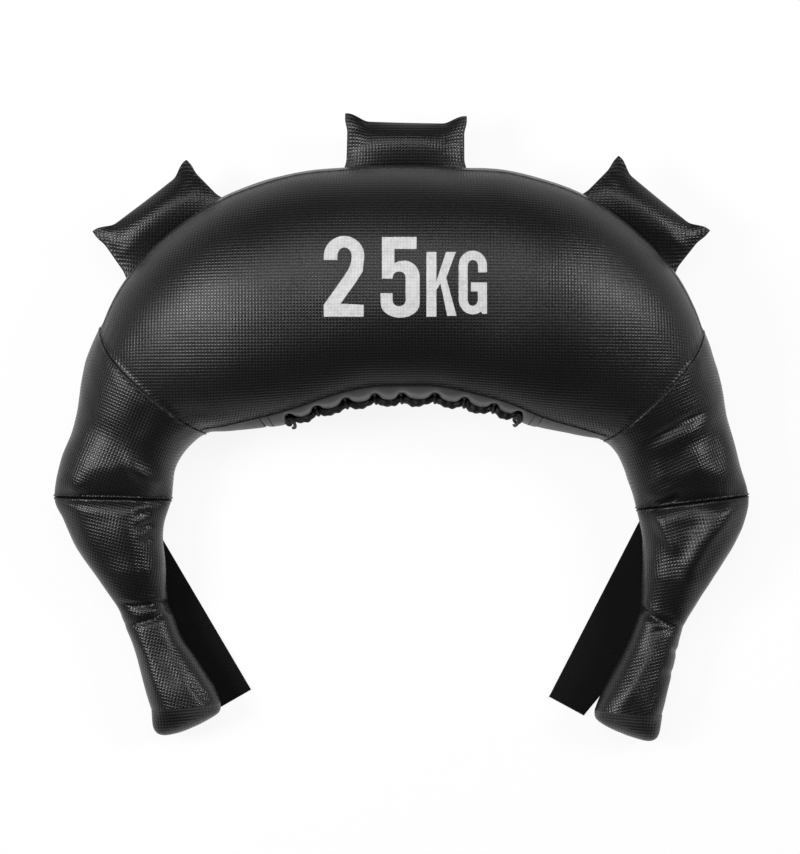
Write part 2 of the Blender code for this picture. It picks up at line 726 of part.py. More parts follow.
def side_grip_cover(name, base, body, finish):
    """Folded leather pouch with flat sewn sides, open only at the slit where it enters the seam."""
    swell = GRIP_THICKNESS / 2 - GRIP_LEATHER
    columns = len(GRIP_ACROSS_SHARES)
    rows = len(GRIP_OUTWARD_SHARES)
    points = []
    index = {}

    def add(layer, row, column, rise):
        place = (layer, row, column)
        if place not in index:
            index[place] = len(points)
            points.append(pad_point(base, GRIP_ACROSS_SHARES[column], GRIP_OUTWARD_SHARES[row], rise))
        return index[place]

    def hollow(row, column):
        rise = swell * pad_swell(GRIP_ACROSS_SHARES[column], GRIP_OUTWARD_SHARES[row])
        if row == 0 and 1 < column < columns - 2:
            rise = GRIP_BASE_SLIT / 2
        return rise

    def outside(side, row, column):
        rise = side * (GRIP_LEATHER + hollow(row, column))
        return add(("out", side), row, column, rise)

    def inside(side, row, column):
        rise = hollow(row, column)
        return add(("in", side if rise > 0 else 0), row, column, side * rise)

    faces = []
    for side in (1, -1):
        for row in range(rows - 1):
            for column in range(columns - 1):
                corners = ((row, column), (row, column + 1), (row + 1, column + 1), (row + 1, column))
                faces.append([outside(side, *corner) for corner in corners])
                if 0 < column < columns - 2 and row < rows - 2:
                    faces.append([inside(side, *corner) for corner in corners])
    for row in range(rows - 1):
        for column in (0, columns - 1):
            ends = (row, row + 1)
            faces.append([outside(1, r, column) for r in ends] + [outside(-1, r, column) for r in ends[::-1]])
    for column in range(columns - 1):
        ends = (column, column + 1)
        last = rows - 1
        faces.append([outside(1, last, c) for c in ends] + [outside(-1, last, c) for c in ends[::-1]])
    for column in range(1, columns - 2):
        for side in (1, -1):
            ends = (column, column + 1)
            faces.append([outside(side, 0, c) for c in ends] + [inside(side, 0, c) for c in ends[::-1]])
    for rim, seam in ((0, 1), (columns - 1, columns - 2)):
        middle = inside(1, 0, seam)
        faces.append([outside(1, 0, rim), outside(1, 0, seam), middle, outside(-1, 0, seam), outside(-1, 0, rim)])
    faces = [list(dict.fromkeys(face)) for face in faces]
    return mesh_object(name, points, [face for face in faces if len(face) > 2], body, finish)


def side_grip_core(name, base, body, finish):
    """Foam pad that fills a side grip."""
    swell = GRIP_THICKNESS / 2 - GRIP_LEATHER
    columns = range(2, len(GRIP_ACROSS_SHARES) - 2)
    rows = range(1, len(GRIP_OUTWARD_SHARES) - 2)
    upper, lower = [], []
    for row in rows:
        for grid, side in ((upper, 1), (lower, -1)):
            line = []
            for column in columns:
                across = GRIP_ACROSS_SHARES[column]
                out = GRIP_OUTWARD_SHARES[row]
                rise = swell * pad_swell(across, out) - FILL_GAP
                line.append(pad_point(base, across, out, side * rise))
            grid.append(line)
    return sheet(name, upper, lower, body, finish)


def strap_frame(wrist, end, lean_deg, offset):
    """Middle of a strap's root, offset along the wrist seam, and the strap's direction, leaning inward."""
    root = station(wrist)[0]
    run = (station((wrist + end) / 2)[0] - root).normalized()
    lean = math.radians(lean_deg)
    direction = Vector(
        (
            run.x * math.cos(lean) - run.y * math.sin(lean),
            run.x * math.sin(lean) + run.y * math.cos(lean),
            0,
        )
    )
    return root + run * STRAP_ROOT_SETBACK + station(wrist)[1] * offset, direction


def swing_strap(name, root, direction, seam, body, finish):
    """Webbing doubled into a flat loop, cut along the seam at its root, with a fold at its free end."""
    across = Vector((-direction.y, direction.x, 0))
    slant = seam.dot(direction) / seam.dot(across)
    half_gap = STRAP_INNER_GAP / 2
    outer_radius = half_gap + WEBBING
    length = STRAP_LENGTH

    def loop(radius):
        """Outline of the loop in its length and height, from the root round the fold."""
        line = [(share * length, radius) for share in STRAP_RUN_SHARES]
        for k in range(STRAP_FOLD_STEPS + 1):
            turn = math.pi / 2 - math.pi * k / STRAP_FOLD_STEPS
            line.append((length + radius * math.cos(turn), radius * math.sin(turn)))
        return line + [(share * length, -radius) for share in STRAP_RUN_SHARES[::-1]]

    def ring(radius, side):
        inset = WEBBING if radius < outer_radius else 0.0
        made = []
        for out, rise in loop(radius):
            forward = max(out, inset)
            offset = side / 2 * STRAP_WIDTH * (1 + (STRAP_TAPER_SHARE - 1) * forward / length)
            sheared = forward + offset * slant * (1 - out / length)
            place = root + direction * sheared + across * offset
            made.append(Vector((place.x, place.y, outer_radius + rise)))
        return made

    outer = [ring(outer_radius, side) for side in (-1, 1)]
    inner = [ring(half_gap, side) for side in (-1, 1)]
    return tube(name, outer, inner, body, finish)


def clear_scene():
    for item in list(bpy.data.objects):
        bpy.data.objects.remove(item, do_unlink=True)


def seam_top(place):
    """Point over the middle of a seam, level with the highest point of its section."""
    middle, _, _, _, top = station(place)
    return Vector((middle.x, middle.y, top))


def build_body(finishes):
    root = pivot("bag_body", (0, 0, 0))
    leather = finishes["leather"]
    smooth = finishes["smooth_leather"]
    body_panel("front_panel", front_angles, root, leather)
    body_panel("back_panel", back_angles, root, leather)
    gusset("gusset_left", LEFT_SHOULDER, MOUTH_START, root, smooth)
    gusset("gusset_right", MOUTH_END, RIGHT_SHOULDER, root, smooth)
    mouth_lip("mouth_front_lip", 1, root, smooth)
    mouth_lip("mouth_back_lip", -1, root, smooth)
    closure_lace(root, finishes["lace"])
    main_pouch(root, finishes["sand"])
    return root


def build_arm(side, shoulder, wrist, end, strap_lie, root, finishes):
    """Upper sleeve, grip and strap of one side."""
    leather = finishes["leather"]
    arm = pivot(f"{side}_upper_arm", seam_top(shoulder), root)
    sleeve(f"{side}_upper_sleeve", shoulder, wrist, arm, leather)
    arm_pouch(f"{side}_arm_sand_pouch", shoulder, wrist, arm, finishes["sand"])
    grip = pivot(f"{side}_grip", seam_top(wrist), arm)
    heading = along(end) * (-1 if end < wrist else 1)
    sleeve(f"{side}_grip_sleeve", wrist, end, grip, leather)
    grip_core(f"{side}_grip_core", wrist, end, heading, grip, finishes["filler"])
    end_cap(f"{side}_end_cap", end, heading, grip, leather)
    strap_root, direction = strap_frame(wrist, end, *strap_lie)
    hinge = Vector((strap_root.x, strap_root.y, WEBBING + STRAP_INNER_GAP / 2))
    strap = pivot(f"{side}_strap", hinge, arm)
    seam = station(wrist)[1]
    swing_strap(f"{side}_swing_strap", strap_root, direction, seam, strap, finishes["webbing"])


def build_side_grip(side, place, root, finishes):
    """One padded pouch on the outer edge."""
    base = grip_base(place)
    hinge = pivot(f"{side}_side_grip", grip_hinge(base), root)
    side_grip_cover(f"{side}_side_grip_cover", base, hinge, finishes["leather"])
    side_grip_core(f"{side}_side_grip_core", base, hinge, finishes["foam"])


def build():
    clear_scene()
    finishes = {
        "leather": material("black_embossed_leather", (0.018, 0.018, 0.020), 0.42),
        "smooth_leather": material("black_smooth_leather", (0.030, 0.030, 0.033), 0.38),
        "sand": material("sand_filled_liner", (0.30, 0.27, 0.22), 0.85),
        "filler": material("grip_filler", (0.35, 0.33, 0.30), 0.90),
        "foam": material("foam", (0.55, 0.53, 0.48), 0.90),
        "webbing": material("black_webbing", (0.012, 0.012, 0.013), 0.85),
        "lace": material("black_cord", (0.010, 0.010, 0.011), 0.70),
    }
    root = build_body(finishes)
    left_lie = (LEFT_STRAP_LEAN_DEG, LEFT_STRAP_OFFSET)
    right_lie = (RIGHT_STRAP_LEAN_DEG, RIGHT_STRAP_OFFSET)
    build_arm("left", LEFT_SHOULDER, LEFT_WRIST, LEFT_END, left_lie, root, finishes)
    build_arm("right", RIGHT_SHOULDER, RIGHT_WRIST, RIGHT_END, right_lie, root, finishes)
    for side, place in SIDE_GRIP_PLACES.items():
        build_side_grip(side, place, root, finishes)


build()
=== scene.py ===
"""Looks of the sandbag trainer: leather, seams, folds, laced mouth, webbing and weight figure."""

import math

import bmesh
import bpy
import numpy as np
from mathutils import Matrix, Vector, noise
from mathutils.geometry import delaunay_2d_cdt
from mathutils.interpolate import poly_3d_calc
from mathutils.bvhtree import BVHTree


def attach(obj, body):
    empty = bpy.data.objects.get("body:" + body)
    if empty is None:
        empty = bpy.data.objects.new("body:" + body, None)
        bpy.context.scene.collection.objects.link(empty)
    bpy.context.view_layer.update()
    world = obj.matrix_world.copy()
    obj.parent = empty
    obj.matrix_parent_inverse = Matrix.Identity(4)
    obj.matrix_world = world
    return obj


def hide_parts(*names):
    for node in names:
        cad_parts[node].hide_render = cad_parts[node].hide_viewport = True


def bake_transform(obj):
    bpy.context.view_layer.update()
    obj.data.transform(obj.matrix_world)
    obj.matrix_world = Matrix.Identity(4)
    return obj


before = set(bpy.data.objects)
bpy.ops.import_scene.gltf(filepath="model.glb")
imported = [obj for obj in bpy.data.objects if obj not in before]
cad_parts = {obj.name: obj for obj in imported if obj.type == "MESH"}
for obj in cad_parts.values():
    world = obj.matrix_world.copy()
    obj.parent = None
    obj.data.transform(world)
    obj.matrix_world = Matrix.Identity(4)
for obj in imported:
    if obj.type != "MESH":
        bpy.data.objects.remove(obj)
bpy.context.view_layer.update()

# The crescent's form, in metres, as its CAD source has it, but for a slightly higher outer seam
SPAN = 0.700
DEPTH = 0.577
HEIGHT = 0.178
SECTION_POWER = 0.88
CENTRE_SHARE = 0.47
SAG_SHARE = 1.10
OUTER_SEAM_DEG = 17.0
GUSSET_MIDDLE_DEG = 34.0
GUSSET_END_DEG = 21.0
WEBBING = 0.0018
STRAP_INNER_GAP = 0.0006
STRAP_CLEARANCE = 0.0006
LIFT = 2 * WEBBING + STRAP_INNER_GAP + STRAP_CLEARANCE
STITCH_PITCH = 0.0281

# Edge points of the crescent: outer x and y, inner x and y, section height, lift by the strap
SHARES = np.array([
    (-0.361, -0.492, -0.261, -0.482, 0.35, 0.0),
    (-0.369, -0.463, -0.270, -0.452, 0.35, 0.1),
    (-0.378, -0.423, -0.291, -0.414, 0.33, 0.5),
    (-0.386, -0.385, -0.314, -0.371, 0.31, 0.9),
    (-0.399, -0.347, -0.329, -0.329, 0.30, 1.0),
    (-0.411, -0.312, -0.338, -0.298, 0.31, 1.0),
    (-0.441, -0.258, -0.340, -0.241, 0.37, 1.0),
    (-0.469, -0.208, -0.343, -0.199, 0.42, 1.0),
    (-0.487, -0.161, -0.341, -0.165, 0.46, 1.0),
    (-0.499, -0.120, -0.331, -0.125, 0.50, 1.0),
    (-0.489, -0.055, -0.329, -0.102, 0.53, 0.4),
    (-0.471, 0.005, -0.326, -0.076, 0.56, 0.0),
    (-0.463, 0.057, -0.317, -0.052, 0.60, 0.0),
    (-0.453, 0.118, -0.301, -0.028, 0.65, 0.0),
    (-0.431, 0.177, -0.279, -0.010, 0.72, 0.0),
    (-0.394, 0.258, -0.239, -0.005, 0.82, 0.0),
    (-0.337, 0.333, -0.193, 0.002, 0.91, 0.0),
    (-0.254, 0.400, -0.144, 0.012, 0.97, 0.0),
    (-0.159, 0.439, -0.094, 0.029, 0.99, 0.0),
    (-0.080, 0.451, -0.047, 0.040, 1.00, 0.0),
    (0.001, 0.454, 0.001, 0.042, 1.00, 0.0),
    (0.081, 0.451, 0.050, 0.042, 1.00, 0.0),
    (0.159, 0.444, 0.097, 0.033, 0.99, 0.0),
    (0.257, 0.406, 0.146, 0.021, 0.97, 0.0),
    (0.337, 0.340, 0.193, 0.003, 0.91, 0.0),
    (0.396, 0.265, 0.244, -0.010, 0.82, 0.0),
    (0.434, 0.172, 0.290, -0.023, 0.72, 0.0),
    (0.451, 0.114, 0.309, -0.042, 0.65, 0.0),
    (0.463, 0.062, 0.319, -0.066, 0.60, 0.0),
    (0.470, 0.014, 0.326, -0.087, 0.56, 0.0),
    (0.486, -0.055, 0.333, -0.111, 0.53, 0.4),
    (0.500, -0.118, 0.339, -0.142, 0.50, 1.0),
    (0.494, -0.163, 0.346, -0.177, 0.46, 1.0),
    (0.477, -0.210, 0.349, -0.213, 0.42, 1.0),
    (0.449, -0.267, 0.349, -0.255, 0.37, 1.0),
    (0.421, -0.321, 0.347, -0.308, 0.31, 1.0),
    (0.406, -0.357, 0.340, -0.341, 0.30, 1.0),
    (0.399, -0.393, 0.327, -0.381, 0.31, 0.9),
    (0.391, -0.437, 0.307, -0.425, 0.33, 0.5),
    (0.383, -0.475, 0.290, -0.466, 0.35, 0.1),
    (0.377, -0.503, 0.281, -0.494, 0.35, 0.0),
])
LEFT_WRIST, LEFT_SHOULDER, MOUTH_START = 9, 14, 16
MOUTH_END, RIGHT_SHOULDER, RIGHT_WRIST, RIGHT_END = 24, 26, 31, 40

# The camera looks straight down from far away, and a pixel of the photograph is a millimetre
CAMERA_DISTANCE = 4.0
CAMERA_LEVEL = 0.080
CAMERA_PLACE = (-0.001, 0.001)
PIXEL = 0.001
PHOTO_WIDTH, PHOTO_HEIGHT = 800, 854

# How far the shoulder seams sag along the arms on the upper side, in stations, and over how many it fades
SEAM_SAGS = ((LEFT_SHOULDER, -0.50), (RIGHT_SHOULDER, 0.44))
SEAM_FADE = 1.7
SEAM_SAG_POWER = 1.4

# Rows of points beside a sewn edge, by their distance from it
EDGES = (0.0, 0.0003, 0.0007, 0.0012, 0.0018, 0.0025, 0.0035)

# The visible leather: its thickness, its least height over the floor, and how it is drawn down at a seam
SKIN = 0.0012
FLOOR_GAP = 0.0002
LUMPS_FADE = 0.018
SEAM_DROP, SEAM_DROP_REACH = 0.0013, 0.012
UP = np.array((0.0, 0.0, 1.0))


def photo(px, py, level=CAMERA_LEVEL):
    """Point in plan that the camera sees at a pixel of the photograph, at a height over the floor."""
    closer = (CAMERA_DISTANCE + CAMERA_LEVEL - level) / CAMERA_DISTANCE
    x = CAMERA_PLACE[0] + (px - PHOTO_WIDTH / 2) * PIXEL * closer
    y = CAMERA_PLACE[1] + (PHOTO_HEIGHT / 2 - py) * PIXEL * closer
    return x, y


def smooth(value):
    value = np.clip(value, 0.0, 1.0)
    return value * value * (3 - 2 * value)


def bell(distance, width):
    """1 at no distance, fading to 0 over about twice a width."""
    return np.exp(-((distance / width) ** 2))


def unit(vector):
    return vector / np.linalg.norm(vector)


def signed_power(value, power):
    return np.sign(value) * np.abs(value) ** power


def run_along(points):
    """Distance of each point of a line from the first one, along the line."""
    return np.concatenate(([0.0], np.cumsum(np.linalg.norm(np.diff(points, axis=0), axis=1))))


def read_at(marks, run, points):
    """Points of a line at distances along it."""
    return np.stack([np.interp(marks, run, column) for column in points.T], axis=1)


def edge_marks(total, count, edges):
    """Distances along a line, evenly spaced in its middle and finer at its two ends."""
    inside = edges[-1] if edges else 0.0
    middle = np.linspace(inside, total - inside, count + 1)
    return np.concatenate((edges[:-1], middle, total - np.array(edges[:-1][::-1])))


def hermite(before, start, end, after, part):
    """Smooth curve between the second and the third of four values."""
    slope_in, slope_out = (end - before) / 2, (after - start) / 2
    cube = 2 * (start - end) + slope_in + slope_out
    square = -3 * (start - end) - 2 * slope_in - slope_out
    return start + part * (slope_in + part * (square + part * cube))


def station(place):
    """Middle, outward direction, half width, underside and top of the section at a place."""
    place = np.asarray(place, float)
    low = np.clip(np.floor(place).astype(int), 0, len(SHARES) - 2)
    rows = [SHARES[np.clip(low + k, 0, len(SHARES) - 1)] for k in (-1, 0, 1, 2)]
    row = hermite(*rows, (place - low)[..., None])
    level = np.zeros(row.shape[:-1])
    outer = np.stack((row[..., 0] * SPAN, row[..., 1] * DEPTH, level), axis=-1)
    inner = np.stack((row[..., 2] * SPAN, row[..., 3] * DEPTH, level), axis=-1)
    width = np.linalg.norm(outer - inner, axis=-1)
    underside = row[..., 5] * LIFT
    top = underside + row[..., 4] * HEIGHT
    return (outer + inner) / 2, (outer - inner) / width[..., None], width / 2, underside, top


def along(place):
    across = station(place)[1]
    return np.array((across[1], -across[0], 0.0))


def sagged(place, degrees):
    """Places that a section's points really have: the leather sags along the arms beside the shoulders."""
    upper = np.clip(np.sin(np.radians(np.asarray(degrees, float))), 0.0, 1.0) ** SEAM_SAG_POWER
    shift = sum(sag * math.exp(-(((place - seam) / SEAM_FADE) ** 2)) for seam, sag in SEAM_SAGS)
    return place + shift * upper


def section(place, degrees, inset=0.0):
    """Points of a section at an array of angles, from the outer edge over the top."""
    middle, across, half, underside, top = station(sagged(place, degrees))
    widest = underside + CENTRE_SHARE * (top - underside)
    turn = np.radians(np.asarray(degrees, float))
    side = signed_power(np.cos(turn), SECTION_POWER) * (half - inset)
    rise = signed_power(np.sin(turn), SECTION_POWER)
    up = widest + rise * (top - widest - inset)
    down = widest + rise * ((widest - underside) * SAG_SHARE - inset)
    height = np.maximum(np.where(rise >= 0, up, down), underside + inset)
    points = middle + side[..., None] * across
    points[..., 2] = height
    return points


def flat_spot(place, degrees, offset):
    """Flat measure of a point, from its section's middle and its distance along the section."""
    middle, across = station(sagged(place, degrees))[:2]
    return middle[..., :2] + across[..., :2] * np.asarray(offset)[..., None]


def gusset_angle(place):
    part = (place - LEFT_SHOULDER) / (RIGHT_SHOULDER - LEFT_SHOULDER)
    bulge = math.sin(math.pi * min(max(part, 0.0), 1.0))
    return GUSSET_END_DEG + (GUSSET_MIDDLE_DEG - GUSSET_END_DEG) * bulge


def run_places(start, end, pitch, edges=()):
    """Places from start to end about a pitch apart along the middle, and finer at the two ends."""
    dense = np.linspace(start, end, 600)
    run = run_along(np.array([station(p)[0] for p in dense]))
    inside = edges[-1] if edges else 0.0
    count = max(2, round((run[-1] - 2 * inside) / pitch))
    return np.interp(edge_marks(run[-1], count, edges), run, dense)


def ring(place, start_deg, end_deg, count, edges=(), inset=0.0):
    """Part of a section as points evenly spaced along its outline, finer at its two ends."""
    dense = np.linspace(start_deg, end_deg, 400)
    points = section(place, dense, inset)
    run = run_along(points)
    marks = edge_marks(run[-1], count, edges)
    zero = np.interp(90.0 if start_deg <= 90 <= end_deg else 270.0, dense, run)
    return read_at(marks, run, points), marks - zero, run[-1], np.interp(marks, run, dense)


def loop(place, count):
    """A section as evenly spaced points from its underside's middle, and their distance from its top."""
    dense = np.linspace(-90.0, 270.0, 720)
    points = section(place, dense)
    run = run_along(points)
    marks = np.linspace(0.0, run[-1], count + 1)
    return read_at(marks, run, points), marks - np.interp(90.0, dense, run), np.interp(marks, run, dense)


def normals_of(points, around=False):
    """Outward normals of a grid of points, whose columns may close into rings."""
    if around:
        across = np.roll(points, -1, axis=1) - np.roll(points, 1, axis=1)
    else:
        across = np.gradient(points, axis=1)
    down = np.gradient(points, axis=0)
    normals = np.cross(across, down)
    length = np.linalg.norm(normals, axis=2, keepdims=True)
    return normals / np.maximum(length, 1e-12)


def rolled(distance, radius=0.0009):
    """How far a sheet's edge rolls in towards its seam."""
    near = np.clip(radius - distance, 0.0, radius)
    return radius - np.sqrt(radius**2 - near**2)


def segment_distance(points, line):
    """Distance in plan to a polyline, the side that each point lies on, and the share of its length there."""
    line = np.asarray(line, float)
    flat = points[..., :2]
    best = np.full(flat.shape[:-1], 1e9)
    side = np.zeros_like(best)
    share = np.zeros_like(best)
    lengths = np.linalg.norm(np.diff(line, axis=0), axis=1)
    total = lengths.sum()
    done = 0.0
    for start, end, length in zip(line, line[1:], lengths):
        way = (end - start) / length
        offset = flat - start
        run = np.clip(offset @ way, 0.0, length)
        gap = offset - run[..., None] * way
        distance = np.linalg.norm(gap, axis=-1)
        nearer = distance < best
        best = np.where(nearer, distance, best)
        side = np.where(nearer, np.sign(way[0] * offset[..., 1] - way[1] * offset[..., 0]), side)
        share = np.where(nearer, (done + run) / total, share)
        done += length
    return best, side, share


# A crease's depth at its two ends as a share of its own, and how soon it is full
CREASE_END_SHARE = 0.15
CREASE_RISE_SHARE = 0.35


def crease(points, normals, pixels, depth, width, lip=0.0, lip_width=None):
    """Depth of a crease along a line of the photograph, with a soft fold standing up on its left side."""
    distance, side, share = segment_distance(points, [photo(px, py) for px, py in pixels])
    upper = np.clip(normals[..., 2] * 3.0 + 0.6, 0.0, 1.0)
    ends = smooth(np.minimum(share, 1 - share) / CREASE_RISE_SHARE)
    lip_width = lip_width or 2 * width
    groove = bell(distance, width)
    fold = lip * bell(distance * side - lip_width, lip_width)
    full = CREASE_END_SHARE + (1 - CREASE_END_SHARE) * ends
    return (fold - depth * groove) * upper * full * np.where(ends > 0, 1.0, groove)


def lumps(points, size, amount, seed):
    """Soft unevenness, its lumps about as large as the size."""
    values = [noise.noise(Vector(p) / size + Vector((seed, seed, seed))) for p in points.reshape(-1, 3)]
    return np.array(values).reshape(points.shape[:-1]) * amount


# Unevenness of the filled leather, coarse and fine: size, amount and seed
BODY_LUMPS = ((0.085, 0.0011, 1.0), (0.030, 0.00035, 2.0))
SLEEVE_LUMPS = ((0.045, 0.0012, 3.0), (0.017, 0.00035, 4.0))
CAP_LUMPS = ((0.040, 0.0012, 3.0), (0.015, 0.0004, 4.0))


def uneven(points, table):
    return sum(lumps(points, *row) for row in table)


def linked(name, data):
    """New object of the scene with this data."""
    made = bpy.data.objects.new(name, data)
    bpy.context.scene.collection.objects.link(made)
    return made


def finished(name, mesh, finish, smooth_deg):
    """Object of a mesh, its faces turned outward and shaded smooth up to an angle."""
    work = bmesh.new()
    work.from_mesh(mesh)
    bmesh.ops.recalc_face_normals(work, faces=work.faces)
    work.to_mesh(mesh)
    work.free()
    mesh.shade_smooth()
    mesh.set_sharp_from_angle(angle=math.radians(smooth_deg))
    mesh.materials.append(finish)
    return linked(name, mesh)


def mesh_object(name, vertices, faces, finish, uvs=None, smooth_deg=60.0):
    """Object with a flat measure for each of its points."""
    mesh = bpy.data.meshes.new(name)
    mesh.from_pydata([tuple(v) for v in vertices], [], faces)
    if uvs is not None:
        index = np.zeros(len(mesh.loops), int)
        mesh.loops.foreach_get("vertex_index", index)
        spots = np.asarray(uvs, float)[index]
        mesh.uv_layers.new(name="UVMap").data.foreach_set("uv", spots.ravel())
    return finished(name, mesh, finish, smooth_deg)


def thick_grid(name, outer, inner, uv, finish, inner_shift=(0.0, 0.0), smooth_deg=60.0):
    """Closed sheet between two grids of points. The inner side's flat measure is shifted."""
    rows, columns = outer.shape[:2]
    vertices = np.concatenate((outer.reshape(-1, 3), inner.reshape(-1, 3)))
    uvs = np.concatenate((uv.reshape(-1, 2), uv.reshape(-1, 2) + inner_shift))
    back = rows * columns
    faces = []
    for row in range(rows - 1):
        for a in range(row * columns, (row + 1) * columns - 1):
            faces.append((a, a + 1, a + 1 + columns, a + columns))
            faces.append((back + a, back + a + columns, back + a + 1 + columns, back + a + 1))
        for a in (row * columns, (row + 1) * columns - 1):
            faces.append((a, a + columns, back + a + columns, back + a))
    for row in (0, rows - 1):
        for a in range(row * columns, (row + 1) * columns - 1):
            faces.append((a, a + 1, back + a + 1, back + a))
    return mesh_object(name, vertices, faces, finish, uvs, smooth_deg)


def tube_mesh(name, outer, inner, uv, finish):
    """Tube between two stacks of rings, or a solid one with flat ends where there is no inner stack.

    The flat measure has one column more than the rings, where the tube closes.
    """
    rows, columns = outer.shape[:2]
    layers = [outer] if inner is None else [outer, inner]
    faces, marks = [], []

    def add(corners):
        faces.append([(layer * rows + row) * columns + column % columns for layer, row, column in corners])
        marks.extend(tuple(uv[row, column]) for _, row, column in corners)

    for row in range(rows - 1):
        for column in range(columns):
            for layer in range(len(layers)):
                sides = ((row, column), (row, column + 1), (row + 1, column + 1), (row + 1, column))
                add([(layer, *corner) for corner in (sides[::-1] if layer else sides)])
    for row in (0, rows - 1):
        if inner is None:
            add([(0, row, column) for column in range(columns)])
            continue
        for column in range(columns):
            add([(0, row, column), (0, row, column + 1), (1, row, column + 1), (1, row, column)])
    made = bpy.data.meshes.new(name)
    made.from_pydata([tuple(v) for layer in layers for v in layer.reshape(-1, 3)], [], faces)
    made.uv_layers.new(name="UVMap").data.foreach_set("uv", np.array(marks, float).ravel())
    return finished(name, made, finish, 65.0)


def coordinates(mesh):
    made = np.zeros(len(mesh.vertices) * 3)
    mesh.vertices.foreach_get("co", made)
    return made.reshape(-1, 3)


def turned(uv, degrees):
    turn = math.radians(degrees)
    x, y = uv[..., 0], uv[..., 1]
    across = x * math.cos(turn) - y * math.sin(turn)
    return np.stack((across, x * math.sin(turn) + y * math.cos(turn)), axis=-1)


def run_distance(points, first):
    """Distance along a piece's run from its first or its last row of points."""
    steps = np.linalg.norm(np.diff(points, axis=0), axis=2)
    run = np.concatenate((np.zeros((1, points.shape[1])), np.cumsum(steps, axis=0)))
    return run if first else run[-1] - run


def joined(tree, socket, value):
    """Gives a socket a number, a colour or another node's output."""
    if isinstance(value, bpy.types.NodeSocket):
        tree.links.new(value, socket)
    else:
        socket.default_value = value


def calc(tree, operation, *values):
    node = tree.nodes.new("ShaderNodeMath")
    node.operation = operation
    for socket, value in zip(node.inputs, values):
        joined(tree, socket, value)
    return node.outputs[0]


def remap(tree, value, low, high, start=0.0, end=1.0):
    node = tree.nodes.new("ShaderNodeMapRange")
    node.interpolation_type = "SMOOTHSTEP"
    for socket, item in zip(node.inputs, (value, low, high, start, end)):
        joined(tree, socket, item)
    return node.outputs[0]


def shading(tree, kind, output, **values):
    """New shading node with values for its sockets, and one of its outputs."""
    node = tree.nodes.new(kind)
    for socket, value in values.items():
        joined(tree, node.inputs[socket], value)
    return node.outputs[output]


def place_of(tree):
    return shading(tree, "ShaderNodeTexCoord", "Object")


def grain(tree, vector, scale, detail=2.0, rough=0.5):
    form = {"Scale": scale, "Detail": detail, "Roughness": rough}
    return shading(tree, "ShaderNodeTexNoise", "Fac", Vector=vector, **form)


def cells(tree, vector, scale):
    return shading(tree, "ShaderNodeTexVoronoi", "Distance", Vector=vector, Scale=scale)


def bumped(tree, height, distance, strength=1.0, **below):
    """Bump of a height, over the normal of the bump below it where there is one."""
    amount = {"Strength": strength, "Distance": distance}
    return shading(tree, "ShaderNodeBump", "Normal", Height=height, **amount, **below)


def tinted(tree, share, colour, low, high):
    """A colour times a factor that runs from low to high with the share."""
    node = tree.nodes.new("ShaderNodeMix")
    node.data_type = "RGBA"
    joined(tree, node.inputs["Factor"], share)
    for socket, factor in (("A", low), ("B", high)):
        node.inputs[socket].default_value = (*[c * factor for c in colour], 1.0)
    return node.outputs["Result"]


def flat_axes(tree):
    """The two directions of a piece's own flat measure."""
    uv = tree.nodes.new("ShaderNodeUVMap")
    uv.uv_map = "UVMap"
    split = tree.nodes.new("ShaderNodeSeparateXYZ")
    tree.links.new(uv.outputs["UV"], split.inputs[0])
    return split.outputs


def wave(tree, distance, pitch, swing):
    """Sine wave round a half, along a distance."""
    turn = calc(tree, "MULTIPLY", distance, 2 * math.pi / pitch)
    return calc(tree, "ADD", calc(tree, "MULTIPLY", calc(tree, "SINE", turn), swing), 0.5)


def blank(name, colour, roughness, specular=None):
    made = bpy.data.materials.new(name)
    made.use_nodes = True
    shader = made.node_tree.nodes["Principled BSDF"]
    shader.inputs["Base Color"].default_value = (*colour, 1.0)
    shader.inputs["Roughness"].default_value = roughness
    if specular is not None:
        shader.inputs["Specular IOR Level"].default_value = specular
    made.diffuse_color = (*colour, 1.0)
    return made, made.node_tree, shader


def dressed(tree, shader, colour, normal, roughness=None):
    """Gives a shader its colour, its normal and, where it varies, its roughness."""
    joined(tree, shader.inputs["Base Color"], colour)
    joined(tree, shader.inputs["Normal"], normal)
    if roughness is not None:
        joined(tree, shader.inputs["Roughness"], roughness)


DOT_PITCH = 0.0032


def dot_mask(tree):
    """Domed dots of a square grid in the leather's flat measure: 1 on their tops, 0 between them."""
    lows = [wave(tree, axis, DOT_PITCH, -0.5) for axis in flat_axes(tree)[:2]]
    sides = [calc(tree, "SUBTRACT", 1.0, calc(tree, "POWER", low, 2.0)) for low in lows]
    return calc(tree, "MULTIPLY", *sides)


def embossed_leather(name, colour, shine):
    made, tree, shader = blank(name, colour, shine, 0.36)
    place = place_of(tree)
    dots = dot_mask(tree)
    patches = grain(tree, place, 9.0, 3.0)
    # The dots' tops are painted up to about a quarter lighter than the gaps between them, more in some patches
    # than others: a painted highlight on the dots.
    share = calc(tree, "MULTIPLY", dots, remap(tree, patches, 0.2, 0.8, 0.35, 0.8))
    worn = remap(tree, patches, 0.3, 0.7, -0.03, 0.03)
    rough = calc(tree, "ADD", remap(tree, dots, 0.25, 0.75, shine + 0.19, shine), worn)
    skin = bumped(tree, cells(tree, place, 1400.0), 0.00004, 0.6)
    domes = bumped(tree, dots, 0.00020, Normal=skin)
    dressed(tree, shader, tinted(tree, share, colour, 1.0, 1.35), domes, rough)
    return made


def smooth_leather(name, colour, shine):
    made, tree, shader = blank(name, colour, shine)
    place = place_of(tree)
    patches = grain(tree, place, 22.0, 4.0)
    rough = remap(tree, patches, 0.3, 0.7, shine - 0.04, shine + 0.05)
    pores = bumped(tree, cells(tree, place, 900.0), 0.00006, 0.8)
    skin = bumped(tree, grain(tree, place, 160.0, 3.0), 0.0002, 0.5, Normal=pores)
    dressed(tree, shader, tinted(tree, patches, colour, 0.8, 1.35), skin, rough)
    return made


